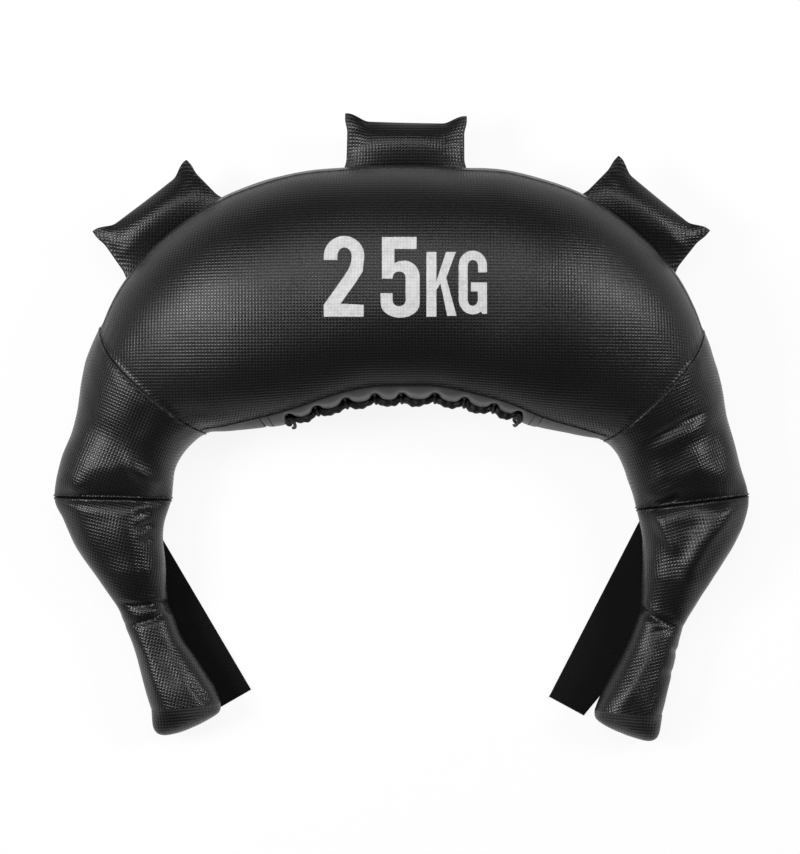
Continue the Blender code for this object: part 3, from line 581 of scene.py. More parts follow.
def printed_leather(name, colour):
    """Pale print on the embossed leather, thinner between the dots and a little worn."""
    made, tree, shader = blank(name, colour, 0.5)
    dots = dot_mask(tree)
    worn = grain(tree, place_of(tree), 130.0, 5.0, 0.65)
    share = calc(tree, "ADD", calc(tree, "MULTIPLY", dots, 0.35), remap(tree, worn, 0.35, 0.7, 0.65, 0.15))
    rough = remap(tree, dots, 0.2, 0.8, 0.62, 0.45)
    dressed(tree, shader, tinted(tree, share, colour, 0.74, 1.16), bumped(tree, dots, 0.00022), rough)
    return made


def woven(name, colour, pitch, amount):
    """Ribbed cloth, whose ribs cross the run of the piece's own flat measure."""
    made, tree, shader = blank(name, colour, 1.0, 0.15)
    width, run = flat_axes(tree)[:2]
    ribs = calc(tree, "MULTIPLY", wave(tree, run, pitch, 0.5), 0.75)
    weave = calc(tree, "ADD", ribs, calc(tree, "MULTIPLY", wave(tree, width, pitch * 0.55, 0.5), 0.25))
    fuzz = grain(tree, place_of(tree), 1200.0, 3.0)
    height = calc(tree, "ADD", weave, calc(tree, "MULTIPLY", fuzz, 0.35))
    # The raised ribs are painted lighter than the grooves between them, a painted highlight on the ribs, and
    # vary unevenly with the fuzz, a tone of the webbing's own.
    colour = tinted(tree, calc(tree, "MULTIPLY", weave, fuzz), colour, 1.0, 2.4)
    dressed(tree, shader, colour, bumped(tree, height, amount, 0.9))
    return made


def cloth(name, colour, scale, shine=0.9):
    """Close weave, its threads about as far apart as the scale says for each metre."""
    made, tree, shader = blank(name, colour, shine, 0.2)
    place = place_of(tree)
    shade = tinted(tree, grain(tree, place, scale / 12, 4.0), colour, 0.7, 1.3)
    dressed(tree, shader, shade, bumped(tree, cells(tree, place, scale), 0.0003, 0.7))
    return made


LEATHER_FINISH = embossed_leather("black_embossed_leather", (0.0042, 0.0042, 0.0045), 0.24)
SMOOTH_FINISH = smooth_leather("black_smooth_leather", (0.0065, 0.0065, 0.007), 0.47)
BINDING_FINISH = cloth("black_binding", (0.012, 0.012, 0.0125), 1500.0, 0.50)
WEBBING_FINISH = woven("black_webbing", (0.0034, 0.0034, 0.0036), 0.0026, 0.00070)
LACE_FINISH = cloth("black_cord", (0.022, 0.022, 0.023), 1800.0, 0.55)
SEAM_FINISH = cloth("seam_thread", (0.003, 0.003, 0.003), 2600.0, 1.0)
THREAD_FINISH = cloth("black_thread", (0.012, 0.012, 0.013), 2600.0, 0.55)
FIGURE_FINISH = printed_leather("printed_figure", (0.47, 0.47, 0.47))
SAND_FINISH = cloth("sand_filled_liner", (0.30, 0.27, 0.22), 500.0)
FILLER_FINISH = cloth("grip_filler", (0.35, 0.33, 0.30), 400.0)
FOAM_FINISH = cloth("foam", (0.55, 0.53, 0.48), 900.0)


def puckers(points, gap, run, amount, wave=0.011, reach=0.011, seed=0.0):
    """Small gathers beside a seam, across its run."""
    swing = np.sin(2 * math.pi * run / wave + lumps(points, size=0.03, amount=3.0, seed=seed + 5.0))
    return amount * np.exp(-gap / reach) * swing


def seam_welt(gap, height, place, width=0.0008):
    """Low ridge that the turned-in leather makes beside a seam."""
    return height * bell(gap - place, width)


def sewn_ends(ends):
    """True for a piece's first row and False for its last, each only where that end is sewn."""
    return [first for first, sewn in zip((True, False), ends) if sewn]


def squared(normals, points, places, ends=(True, True)):
    """Normals that lie in the seam's plane beside each sewn end, so that two pieces meet there."""
    for first in sewn_ends(ends):
        onward = -along(places[0] if first else places[-1])
        share = bell(run_distance(points, first), width=0.010)[..., None]
        normals = normals - share * (normals @ onward)[..., None] * onward
    return normals / np.linalg.norm(normals, axis=-1, keepdims=True)


def turned_in(away, depth=0.0030):
    """How much deeper a sheet's inner side lies where its edge is turned in at a seam."""
    return depth * bell(away, width=0.0008)


def two_sides(points, normals, relief, thick, places):
    """Outer and inner side of a sheet over these points, neither of them below the underside."""
    outer = rested(points + normals * relief[..., None], places)
    return outer, rested(outer - normals * thick[..., None], places)


def panel_grid(start, end, degrees_of, count, pitch=0.0042):
    """Points, flat measure and distance to the nearest sewn edge of part of the body's skin."""
    places = run_places(start, end, pitch, EDGES)
    points, uvs, gaps = [], [], []
    for place in places:
        low, high = degrees_of(place)
        at, offset, total, degrees = ring(place, low, high, count, EDGES)
        way = -1.0 if low < 90 else 1.0
        points.append(at)
        uvs.append(flat_spot(place, degrees, way * offset))
        run = offset - offset[0]
        gaps.append(np.minimum(run, total - run))
    return places, np.array(points), np.array(uvs), np.array(gaps)


def body_panel(name, node, start, end, degrees_of, count, finish, ends=(True, True), pitch=0.0042, sunk=0.0):
    """One leather panel of the body, its edges turned in at the seams."""
    places, points, uv, gap = panel_grid(start, end, degrees_of, count, pitch)
    normals = squared(normals_of(points), points, places, ends)
    relief = uneven(points, BODY_LUMPS)
    for first in sewn_ends(ends):
        relief = relief * (1 - bell(run_distance(points, first), LUMPS_FADE))
    run = np.hypot(uv[..., 0] - uv[0, 0, 0], uv[..., 1] - uv[0, 0, 1])
    relief = relief + puckers(points, gap, run, amount=0.0002)
    relief = relief + seam_welt(gap, height=0.0004, place=0.0018) - rolled(gap, radius=0.0008)
    relief = relief - sunk * bell(gap, width=0.0022)
    thick = SKIN + turned_in(gap, depth=0.0015)
    for first in sewn_ends(ends):
        away = run_distance(points, first)
        relief = relief - rolled(away) + seam_welt(away, height=0.0006, place=0.0021, width=0.0010)
        relief = relief + puckers(points, away, gap, wave=0.012, amount=0.0002, reach=0.014, seed=9.0)
        relief = relief - SEAM_DROP * bell(away, SEAM_DROP_REACH)
        thick = thick + turned_in(away)
    made = thick_grid(name, *two_sides(points, normals, relief, thick, places), uv, finish)
    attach(made, "bag_body")
    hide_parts(node)
    return made


def rested(points, places):
    """The same points, none of them lower than the underside at its place."""
    floors = np.array([station(place)[3] for place in places])
    points[..., 2] = np.maximum(points[..., 2], floors[:, None] + FLOOR_GAP)
    return points


def front_degrees(place):
    return OUTER_SEAM_DEG, 180.0 - gusset_angle(place)


def back_degrees(place):
    return 180.0 + gusset_angle(place), 360.0 + OUTER_SEAM_DEG


def gusset_degrees(place):
    return 180.0 - gusset_angle(place), 180.0 + gusset_angle(place)


def sleeve_grid(start, end, count=96, pitch=0.0024):
    places = run_places(start, end, pitch, EDGES)
    points, uvs = [], []
    for place in places:
        at, offset, degrees = loop(place, count)
        points.append(at[:-1])
        uvs.append(flat_spot(place, degrees, -offset))
    return places, np.array(points), np.array(uvs)


def across_share(points, places):
    """Where each point lies across its section, from 1 at the outer edge to -1 at the inner edge."""
    shares = np.zeros(points.shape[:2])
    for row, place in enumerate(places):
        middle, across, half = station(place)[:3]
        shares[row] = ((points[row] - middle) @ across) / half
    return shares


# Creases drawn along lines of the photograph: pixels, depth, width, fold beside it and that fold's width
CREASES = {
    "left_upper": [
        ([(125, 447), (134, 468), (148, 481), (164, 489)], -0.0026, 0.0060),
        ([(118, 462), (132, 484), (150, 492)], 0.0016, 0.0060),
        ([(64, 497), (74, 488), (86, 479)], -0.0022, 0.0070),
        ([(150, 400), (142, 425), (136, 445)], 0.0012, 0.0080),
    ],
    "right_upper": [
        ([(640, 447), (660, 435), (686, 421), (712, 406)], 0.0036, 0.0055),
        ([(646, 458), (666, 446), (690, 433), (714, 420)], -0.0014, 0.0060),
        ([(648, 509), (662, 504), (684, 491)], 0.0034, 0.0042, 0.0024, 0.007),
        ([(656, 452), (658, 470), (662, 486)], -0.0013, 0.0070),
        ([(676, 445), (678, 462), (682, 480)], 0.0010, 0.0060),
        ([(694, 442), (697, 460), (702, 480)], -0.0014, 0.0075),
        ([(712, 430), (716, 450), (722, 474)], 0.0010, 0.0060),
        ([(722, 424), (729, 446), (736, 468)], -0.0014, 0.0070),
    ],
    "left_grip": [
        ([(112, 503), (120, 520), (127, 545), (134, 575), (140, 600)], -0.0036, 0.0160),
        ([(134, 516), (143, 515), (154, 512)], 0.0026, 0.0028),
        ([(134, 527), (143, 528), (155, 524)], 0.0028, 0.0028),
        ([(138, 540), (144, 541), (153, 539)], 0.0016, 0.0026),
        ([(136, 548), (139, 572), (142, 596)], 0.0011, 0.0040),
        ([(116, 602), (136, 606), (152, 605), (166, 606), (186, 606)], 0.0040, 0.0036, 0.0006, 0.005),
        ([(118, 626), (134, 625), (152, 620), (166, 612), (184, 606)], 0.0034, 0.0036, 0.0006, 0.005),
        ([(133, 628), (146, 655), (154, 684), (160, 706)], -0.0022, 0.0070),
        ([(150, 640), (168, 668), (182, 700)], 0.0014, 0.0060),
        ([(184, 676), (200, 696), (214, 708)], 0.0016, 0.0040),
    ],
    "right_grip": [
        ([(650, 514), (660, 524), (672, 542), (680, 560)], -0.0036, 0.0065),
        ([(747, 500), (724, 518), (704, 540), (690, 565), (683, 602)], -0.0052, 0.0095),
        ([(692, 508), (694, 522), (690, 538)], 0.0026, 0.0120),
        ([(628, 604), (643, 611), (658, 620), (670, 625), (690, 630)], 0.0040, 0.0036, 0.0006, 0.005),
        ([(652, 634), (664, 631), (680, 633)], 0.0020, 0.0030),
        ([(660, 642), (646, 668), (632, 694), (618, 712)], -0.0022, 0.0070),
        ([(672, 650), (680, 654), (688, 656)], 0.0020, 0.0030),
        ([(662, 672), (670, 674), (680, 676)], 0.0016, 0.0030),
        ([(664, 684), (654, 698), (650, 714)], 0.0014, 0.0050),
    ],
}

# How the crown of a grip rises and falls, in stations from its wrist seam, beside the CAD source's even slope
CROWN = (
    (0.0, -0.0060), (0.5, -0.0044), (1.0, -0.0028), (2.0, 0.0004), (3.0, 0.0038), (4.0, 0.0030), (5.0, 0.0015),
    (6.0, 0.0),
)


TOP_SIDE_SHARE = 0.40
TOP_SPREAD = 1.6


def over_top(points, normals, places):
    """Share of a rise that a sleeve's points take: all along the top's middle, less beside it, none below."""
    middle = 1 - across_share(points, places) ** 2
    full = TOP_SIDE_SHARE + (1 - TOP_SIDE_SHARE) * np.sqrt(np.clip(middle, 0, 1))
    return smooth(normals[..., 2] * TOP_SPREAD) * full


def creased(points, normals, key):
    relief = np.zeros(points.shape[:2])
    for pixels, *form in CREASES[key]:
        relief = relief + crease(points, normals, pixels, *form)
    return relief


DIP_POWER = 1.7


def valley(points, places, seam, depth, reach_inner, reach_middle, reach_outer):
    """How far the top of a sleeve dips towards the seam at its end."""
    share = across_share(points, places)
    side = np.where(share > 0, reach_outer, reach_inner)
    reach = side + (reach_middle - side) * (1 - share**2)
    return -depth * np.clip(1 - run_distance(points, seam == places[0]) / reach, 0.0, 1.0) ** DIP_POWER


CREASE_CLEAR = 0.006
SLEEVE_FILLING_INSET = 0.0048
SLEEVE_HALF_WIDTH = 0.05


def sleeve_piece(key, start, end, filler, nodes, turn, dips, welts):
    """A leather sleeve and the filling inside it."""
    places, points, uv = sleeve_grid(start, end)
    normals = squared(normals_of(points, around=True), points, places)
    seams = [(run_distance(points, seam == places[0]), welt) for seam, welt in welts]
    relief = uneven(points, SLEEVE_LUMPS)
    drawn = creased(points, normals, key)
    for away, _ in seams:
        relief = relief * (1 - bell(away, LUMPS_FADE))
        drawn = drawn * smooth(away / CREASE_CLEAR)
    top = over_top(points, normals, places)
    relief = relief + drawn + top * sum(valley(points, places, *dip) for dip in dips)
    if key.endswith("grip"):
        relief = relief + top * np.interp(np.abs(places - welts[0][0]), *zip(*CROWN))[:, None]
    fill = points + normals * (relief - SLEEVE_FILLING_INSET)[..., None]
    run = across_share(points, places) * SLEEVE_HALF_WIDTH
    thick = np.full(relief.shape, SKIN)
    for away, welt in seams:
        thick = thick + turned_in(away)
        relief = relief - rolled(away, radius=0.0005) + seam_welt(away, height=welt, place=0.0015)
        relief = relief + puckers(points, away, run, wave=0.010, amount=0.0003, reach=0.012, seed=12.0)
    sides = two_sides(points, normals, relief, thick, places)
    skin = tube_mesh(f"{key}_sleeve_leather", *sides, turned(uv, turn), LEATHER_FINISH)
    rows = slice(3, -3)
    filling = tube_mesh(f"{key}_filling_leather", fill[rows], None, uv[rows], filler)
    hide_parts(nodes[0])
    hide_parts(nodes[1])
    return skin, filling


def blended(item):
    """Bakes a piece's placement into its mesh."""
    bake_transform(item)


# The boxy end of an arm, and its rings as shares of its depth
CAP_DEPTH = 0.0340
CAP_INNER_SHARE = 0.70
CAP_SIDES = 84
CAP_SHARES = (*np.linspace(0.0, 0.86, 14), 0.91, 0.95, 0.98, 0.995)


def dome_rings(place, heading):
    """Rings of an arm's boxy end. Its top folds down at once, and its sides turn in late."""
    middle, across, half = station(place)[:3]
    centre = np.array((middle[0], middle[1], section(place, [0.0])[0][2]))
    at = loop(place, CAP_SIDES)[0][:-1] - centre
    sideways, height = at @ across, at[:, 2]
    rings = []
    for share in CAP_SHARES:
        wide = (1 - share**5) ** 0.42
        tall = (1 - 0.60 * share) * (1 - share**9) ** 0.5
        low = (1 - share**5) ** 0.5
        reach = share * CAP_DEPTH * (CAP_INNER_SHARE + (1 - CAP_INNER_SHARE) * sideways * wide / half)
        spots = centre + np.outer(sideways * wide, across) + heading * reach[:, None]
        spots[:, 2] += height * np.where(height > 0, tall, low)
        rings.append(spots)
    return np.array(rings), centre + heading * CAP_DEPTH * CAP_INNER_SHARE


def closed_dome(name, outer, outer_tip, inner, inner_tip, finish):
    """Thick dome open at its first ring."""
    rows, columns = outer.shape[:2]
    vertices = [*outer.reshape(-1, 3), outer_tip, *inner.reshape(-1, 3), inner_tip]
    back = rows * columns + 1
    faces = []
    for column in range(columns):
        after = (column + 1) % columns
        faces.append((column, after, back + after, back + column))
        for a, b in [(row * columns + column, row * columns + after) for row in range(rows - 1)]:
            faces.append((a, b, b + columns, a + columns))
            faces.append((back + a, back + a + columns, back + b + columns, back + b))
        a, b = (rows - 1) * columns + column, (rows - 1) * columns + after
        faces.append((a, b, back - 1))
        faces.append((back + b, back + a, len(vertices) - 1))
    return mesh_object(name, vertices, faces, finish)


def box_mapped(item, across, heading):
    """Lays the flat measure of each face out from the side that it faces."""
    mesh = item.data
    layer = mesh.uv_layers.new(name="UVMap").data
    axes = [Vector(across), Vector(heading), Vector(UP)]
    for face in mesh.polygons:
        facing = [abs(face.normal.dot(axis)) for axis in axes]
        first, second = [axis for k, axis in enumerate(axes) if k != facing.index(max(facing))]
        for k in face.loop_indices:
            at = mesh.vertices[mesh.loops[k].vertex_index].co
            layer[k].uv = (at.dot(first), at.dot(second))


def end_piece(side, place, heading):
    """Boxy leather end of an arm, with its corners tucked in."""
    rings, tip = dome_rings(place, heading)
    stacked = np.concatenate((rings, np.repeat(tip[None, None], rings.shape[1], axis=1)))
    normals = normals_of(stacked, around=True)[:-1]
    if ((rings - rings.mean(axis=(0, 1))) * normals).sum() < 0:
        normals = -normals
    relief = uneven(rings, CAP_LUMPS) + creased(rings, normals, f"{side}_grip")
    outer = rings + normals * relief[..., None]
    outer[..., 2] = np.maximum(outer[..., 2], station(place)[3] + FLOOR_GAP)
    inner = outer - normals * SKIN
    made = closed_dome(f"{side}_end_leather", outer, tip, inner, tip - heading * SKIN, LEATHER_FINISH)
    box_mapped(made, station(place)[1], heading)
    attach(made, f"{side}_grip")
    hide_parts(f"{side}_end_cap")


# The body's filling: how far it lies inside the leather, its points across a side, and its ends' drop
FILLING_INSET = 0.0042
FILLING_COUNT = 40
FILLING_DROP, FILLING_DROP_REACH = 0.0012, 0.014


def body_filling():
    """The liner with its sand, in the body's form but a little smaller."""
    points = []
    for place in run_places(LEFT_SHOULDER, RIGHT_SHOULDER, 0.006, EDGES)[4:-4]:
        upper = ring(place, *front_degrees(place), FILLING_COUNT, inset=FILLING_INSET)[0]
        lower = ring(place, *back_degrees(place), FILLING_COUNT, inset=FILLING_INSET)[0]
        points.append(np.concatenate((upper, lower[:-1])))
    points = np.array(points)
    relief = uneven(points, BODY_LUMPS[:1])
    for first in (True, False):
        relief = relief - FILLING_DROP * bell(run_distance(points, first), FILLING_DROP_REACH)
    points = points + normals_of(points, around=True) * relief[..., None]
    flat = np.concatenate((points[..., :2], points[:, :1, :2]), axis=1)
    made = tube_mesh("body_filling", points, None, flat, SAND_FINISH)
    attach(made, "bag_body")
    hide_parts("main_sand_pouch")


# Side grips: the two outer corners and the two base corners of each in the photograph
PAD_CORNERS = {
    "left": ((91.5, 231.0), (186.0, 159.0), (223.5, 196.0), (125.0, 279.0)),
    "top": ((345.0, 113.0), (467.0, 116.0), (467.0, 168.0), (343.0, 166.0)),
    "right": ((619.0, 155.0), (711.0, 230.0), (678.0, 273.0), (581.0, 193.0)),
}
PAD_SEAT_DEG = -6.0
PAD_DROOP = 0.007
PAD_LEVEL = 0.068

# The fold lies further in than the corners, and the side seams are drawn in along their middle
PAD_FOLD_IN = 0.0080
PAD_EAR_START, PAD_EAR_LENGTH = 0.60, 0.34
PAD_WAIST = 0.0026
PAD_WAIST_AT, PAD_WAIST_HALF = 0.42, 0.24

# Half its thickness at the rim, and its swell with the powers that shape it across and outward
PAD_RIM = 0.0018
PAD_SWELL = 0.0105
PAD_SEAM_SHARE, PAD_END_SHARE = 0.94, 0.97
PAD_ACROSS_POWERS, PAD_OUT_POWERS = (2.5, 0.8), (1.2, 0.9)
PAD_GATHER_START, PAD_GATHER_LENGTH = 0.55, 0.39
PAD_GATHER_WAVE, PAD_GATHER_LEAN, PAD_GATHER_SHARE = 26.0, 2.0, 0.10
PAD_MOST_SWELL = 0.005
PAD_LOWER_GRAIN = (0.0, 0.2)
FOAM_INSET, FOAM_LEAST = 0.0028, 0.0004


def edge_shares(count, fine=(0.012, 0.035, 0.065, 0.11)):
    """Shares from 0 to 1, finer at both ends."""
    fine = np.array(fine)
    middle = np.linspace(fine[-1], 1 - fine[-1], count)[1:-1]
    return np.concatenate(([0.0], fine, middle, 1 - fine[::-1], [1.0]))


PAD_ACROSS = edge_shares(34) * 2 - 1
PAD_OUT = edge_shares(17)
PAD_MIDDLE = 20
BODY_PLACES = np.linspace(LEFT_SHOULDER, RIGHT_SHOULDER, 800)
BODY_EDGE = np.array([(station(p)[0] + station(p)[1] * station(p)[2])[:2] for p in BODY_PLACES])


def pad_frame(side):
    """Rows of a side grip's middle layer from its base out, its normal, its outward way and flat measure."""
    first, last, base_last, base_first = [np.array(photo(*corner, PAD_LEVEL)) for corner in PAD_CORNERS[side]]
    tangent = unit(base_last - base_first)
    outward = np.array((-tangent[1], tangent[0]))
    base = []
    for share in PAD_ACROSS:
        wanted = (base_first + base_last) / 2 + (base_last - base_first) / 2 * share
        nearest = BODY_PLACES[np.argmin(np.linalg.norm(BODY_EDGE - wanted, axis=1))]
        base.append(section(nearest, [PAD_SEAT_DEG])[0])
    base = np.array(base)
    across = PAD_ACROSS[:, None]
    tip = (first + last) / 2 + (last - first) / 2 * across
    tip = tip - outward * PAD_FOLD_IN * (1 - smooth((np.abs(across) - PAD_EAR_START) / PAD_EAR_LENGTH))
    tip = np.column_stack((tip, np.full(len(tip), base[:, 2].mean() - PAD_DROOP)))
    rows = []
    for share in PAD_OUT:
        row = base * (1 - share) + tip * share
        waist = PAD_WAIST * (1 - smooth((abs(share - PAD_WAIST_AT) - PAD_WAIST_HALF) / PAD_WAIST_HALF))
        row[:, :2] -= np.outer(PAD_ACROSS * waist, tangent)
        rows.append(row)
    reach = tip[PAD_MIDDLE] - base[PAD_MIDDLE]
    droop = math.atan2(PAD_DROOP, np.linalg.norm(reach[:2]))
    normal = np.array((*(outward * math.sin(droop)), math.cos(droop)))
    width = np.linalg.norm(last - first)
    uv = np.stack(np.meshgrid(PAD_ACROSS * width / 2, PAD_OUT * np.linalg.norm(reach) * 1.1), axis=-1)
    return np.array(rows), normal, np.array((*outward, 0.0)), uv


def swollen(item, pinned, cap, steps=20):
    """Swells a closed skin by cloth pressure, holds its pinned points, and keeps the result in its mesh."""
    group = item.vertex_groups.new(name="sewn")
    group.add(pinned, 1.0, "REPLACE")
    cloth_way = item.modifiers.new("swell", "CLOTH")
    settings = cloth_way.settings
    settings.quality = 6
    settings.mass = 0.25
    settings.tension_stiffness = 12.0
    settings.compression_stiffness = 4.0
    settings.shear_stiffness = 4.0
    settings.bending_stiffness = 0.3
    settings.use_pressure = True
    settings.uniform_pressure_force = 4.0
    settings.vertex_group_mass = "sewn"
    settings.effector_weights.gravity = 0.0
    cloth_way.collision_settings.use_collision = False
    cloth_way.point_cache.frame_start = 1
    cloth_way.point_cache.frame_end = steps
    scene = bpy.context.scene
    for step in range(1, steps + 1):
        scene.frame_set(step)
    graph = bpy.context.evaluated_depsgraph_get()
    before = coordinates(item.data)
    shift = coordinates(item.evaluated_get(graph).to_mesh()) - before
    item.evaluated_get(graph).to_mesh_clear()
    length = np.linalg.norm(shift, axis=1, keepdims=True)
    print("swell", item.name, "largest move", round(float(length.max()) * 1000, 2), "mm")
    shift *= np.minimum(1.0, cap / np.maximum(length, 1e-9))
    item.modifiers.remove(cloth_way)
    item.vertex_groups.clear()
    scene.frame_set(1)
    item.data.vertices.foreach_set("co", (before + shift).ravel())
    item.data.update()


def side_pad(side):
    """Padded leather pouch with flat sewn sides and a folded outer edge, and the foam in it."""
    rows, normal, outward, uv = pad_frame(side)
    off_middle = np.abs(PAD_ACROSS)
    out = PAD_OUT[:, None]
    first, last = PAD_ACROSS_POWERS
    swell = np.clip(1 - (off_middle / PAD_SEAM_SHARE) ** first, 0.0, 1.0) ** last * PAD_SWELL
    first, last = PAD_OUT_POWERS
    swell = swell * np.sin(math.pi * np.clip(out / PAD_END_SHARE, 0.0, 1.0) ** first) ** last
    gathered = np.clip((off_middle - PAD_GATHER_START) / PAD_GATHER_LENGTH, 0.0, 1.0)
    waves = np.sin(out * PAD_GATHER_WAVE + PAD_GATHER_LEAN * np.sign(PAD_ACROSS))
    half = PAD_RIM + swell * (1 + PAD_GATHER_SHARE * waves * gathered)
    upper, lower = [rows + normal * way * half[..., None] for way in (1, -1)]
    slant = math.degrees(math.atan2(-outward[0], outward[1]))
    shift = turned(np.array(PAD_LOWER_GRAIN), slant)
    name = f"{side}_side_grip"
    pad = thick_grid(f"{name}_leather", upper, lower, turned(uv, slant), LEATHER_FINISH, shift, 75.0)
    held = np.tile(((off_middle > PAD_SEAM_SHARE) | (out < 0.02)).ravel(), 2)
    swollen(pad, [int(k) for k in np.nonzero(held)[0]], PAD_MOST_SWELL)
    layers = coordinates(pad.data).reshape(2, *upper.shape)
    middle = layers.mean(axis=0)
    inside = (slice(3, -4), slice(5, -5))
    core = []
    for layer in layers:
        offset = layer - middle
        thick = np.linalg.norm(offset, axis=2, keepdims=True)
        core.append((middle + offset * np.maximum(thick - FOAM_INSET, FOAM_LEAST) / thick)[inside])
    foam = thick_grid(f"{name}_foam", *core, uv[inside], FOAM_FINISH)
    pad.modifiers.new("smooth", "SUBSURF").levels = 1
    pad.modifiers["smooth"].render_levels = 1
    for item in (pad, foam):
        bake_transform(item)
    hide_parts(f"{name}_cover")
    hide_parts(f"{name}_core")


# Edges of the swing straps along the photograph, from the wrist seam to the free end
STRAP_LINES = {
    "left": (
        ((99.0, 531.0), (213.5, 709.0)),
        ((143.0, 505.5), (163.0, 540.0), (250.0, 688.0)),
    ),
    "right": (
        ((647.5, 505.0), (640.0, 520.0), (550.0, 695.0)),
        ((697.0, 531.0), (662.0, 593.0), (626.0, 653.0), (613.0, 676.0), (600.0, 696.0), (585.0, 714.0)),
    ),
}
STRAP_LEVEL = 0.004
STRAP_ROWS = 116
STRAP_FOLD_STEPS = 9
STRAP_EDGE_THINNING = 0.42


def even_line(points, count):
    """Evenly spaced points along a line."""
    points = np.asarray(points, float)
    run = run_along(points)
    return read_at(np.linspace(0.0, 1.0, count) * run[-1], run, points)


def swing_strap(side):
    """Webbing doubled into a flat loop, with woven edges."""
    edges = [even_line([photo(*p, STRAP_LEVEL) for p in line], STRAP_ROWS) for line in STRAP_LINES[side]]
    middle = (edges[0] + edges[1]) / 2
    way = unit(middle[-1] - middle[-6])
    columns = edge_shares(9, (0.02, 0.06)) * 2 - 1
    thin = 1 - STRAP_EDGE_THINNING * np.abs(columns) ** 14
    half_gap = STRAP_INNER_GAP / 2
    centre = WEBBING + half_gap

    def face(radius, thin):
        turns = math.pi / 2 - math.pi * np.arange(STRAP_FOLD_STEPS) / (STRAP_FOLD_STEPS - 1)
        outline = [(row, 0.0, radius) for row in range(STRAP_ROWS - 1)]
        outline += [(STRAP_ROWS - 1, radius * math.cos(turn), radius * math.sin(turn)) for turn in turns]
        outline += [(row, 0.0, -radius) for row in reversed(range(STRAP_ROWS - 1))]
        rows = []
        for row, beyond, level in outline:
            start, end = edges[0][row], edges[1][row]
            spots = (start + end) / 2 + (end - start) / 2 * columns[:, None] + way * beyond
            rows.append(np.column_stack((spots, centre + FLOOR_GAP + level * thin)))
        return np.array(rows)

    outer, inner = face(centre, thin), face(half_gap, np.ones(len(columns)))
    width = np.linalg.norm(edges[1][0] - edges[0][0])
    uv = np.stack(np.meshgrid(columns * width / 2, run_along(outer[:, 5])), axis=-1)
    strap = thick_grid(f"{side}_strap_webbing", outer, inner, uv, WEBBING_FINISH)
    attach(strap, f"{side}_strap")
    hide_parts(f"{side}_swing_strap")


# The mouth: how far its hems stand in at a stitch and between two, and where its stitches are along it
PEAK_IN = -0.0062
BULGE_IN = -0.0019
HEM_RADIUS = 0.0051
HEM_SIDES = 20
LACE_RADIUS = 0.0017
STITCH_AT = np.array((-0.1124, -0.0845, -0.0550, -0.0256, 0.0, 0.0328, 0.0620, 0.0912, 0.1165))
HEM_PAST_STITCH = 0.0075
HEM_ENDS = (STITCH_AT[0] - HEM_PAST_STITCH, STITCH_AT[-1] + HEM_PAST_STITCH)
HEM_FADE = 0.008
STITCH_KNOTS = np.concatenate(([STITCH_AT[0] - STITCH_PITCH], STITCH_AT, [STITCH_AT[-1] + STITCH_PITCH]))
MOUTH_PLACES = np.linspace(MOUTH_START, MOUTH_END, 1601)
MOUTH_RUN = run_along(np.array([section(p, [180.0])[0] for p in MOUTH_PLACES]))
MOUTH_RUN = MOUTH_RUN - MOUTH_RUN[len(MOUTH_RUN) // 2]


def stitch_gap(distance):
    """Distance to the nearest stitch."""
    return np.abs(np.asarray(distance)[..., None] - STITCH_AT).min(axis=-1)


def stitch_phase(distance):
    """Turn of the whipping at a distance along the mouth, 0 at a stitch, its waves leaning to the right."""
    turn = 2 * math.pi * np.interp(distance, STITCH_KNOTS, np.arange(len(STITCH_KNOTS)) - 1.0)
    return turn + 0.45 * np.sin(turn)


def hem_middle(distance):
    """How far the hems stand out from the mouth's line, pulled in at each stitch."""
    wave = (1 + np.cos(stitch_phase(distance))) / 2
    return BULGE_IN + (PEAK_IN - BULGE_IN) * wave**0.95 - 0.0004 * bell(stitch_gap(distance), 0.0022)


def hem_thickness(distance):
    """Radius of a hem, nipped in at each stitch and a little uneven."""
    uneven = 0.07 * np.sin(210.0 * distance) + 0.04 * np.sin(95.0 * distance + 1.0)
    return HEM_RADIUS * (1 - 0.16 * bell(stitch_gap(distance), 0.0020) + uneven)


def mouth_frames(distances):
    """Places at distances along the mouth, with its line and its outward and onward directions there."""
    places = np.interp(distances, MOUTH_RUN, MOUTH_PLACES)
    base = np.array([section(p, [180.0])[0] for p in places])
    onward = np.array([along(p) for p in places])
    return places, base, np.array([-station(p)[1] for p in places]), onward


# A lip: its rows from seam to hem, where it is pulled over to the hem, its gathers, and its end stitching
LIP_LEVELS = np.concatenate((np.array(EDGES[:-1]) / 0.05, np.linspace(0.08, 1.0, 16)))
LIP_PULL_START, LIP_PULL_LENGTH = 0.08, 0.62
LIP_GATHER, LIP_FINE_GATHER = 0.0013, 0.0003
LIP_SEWN_AT = 0.0088


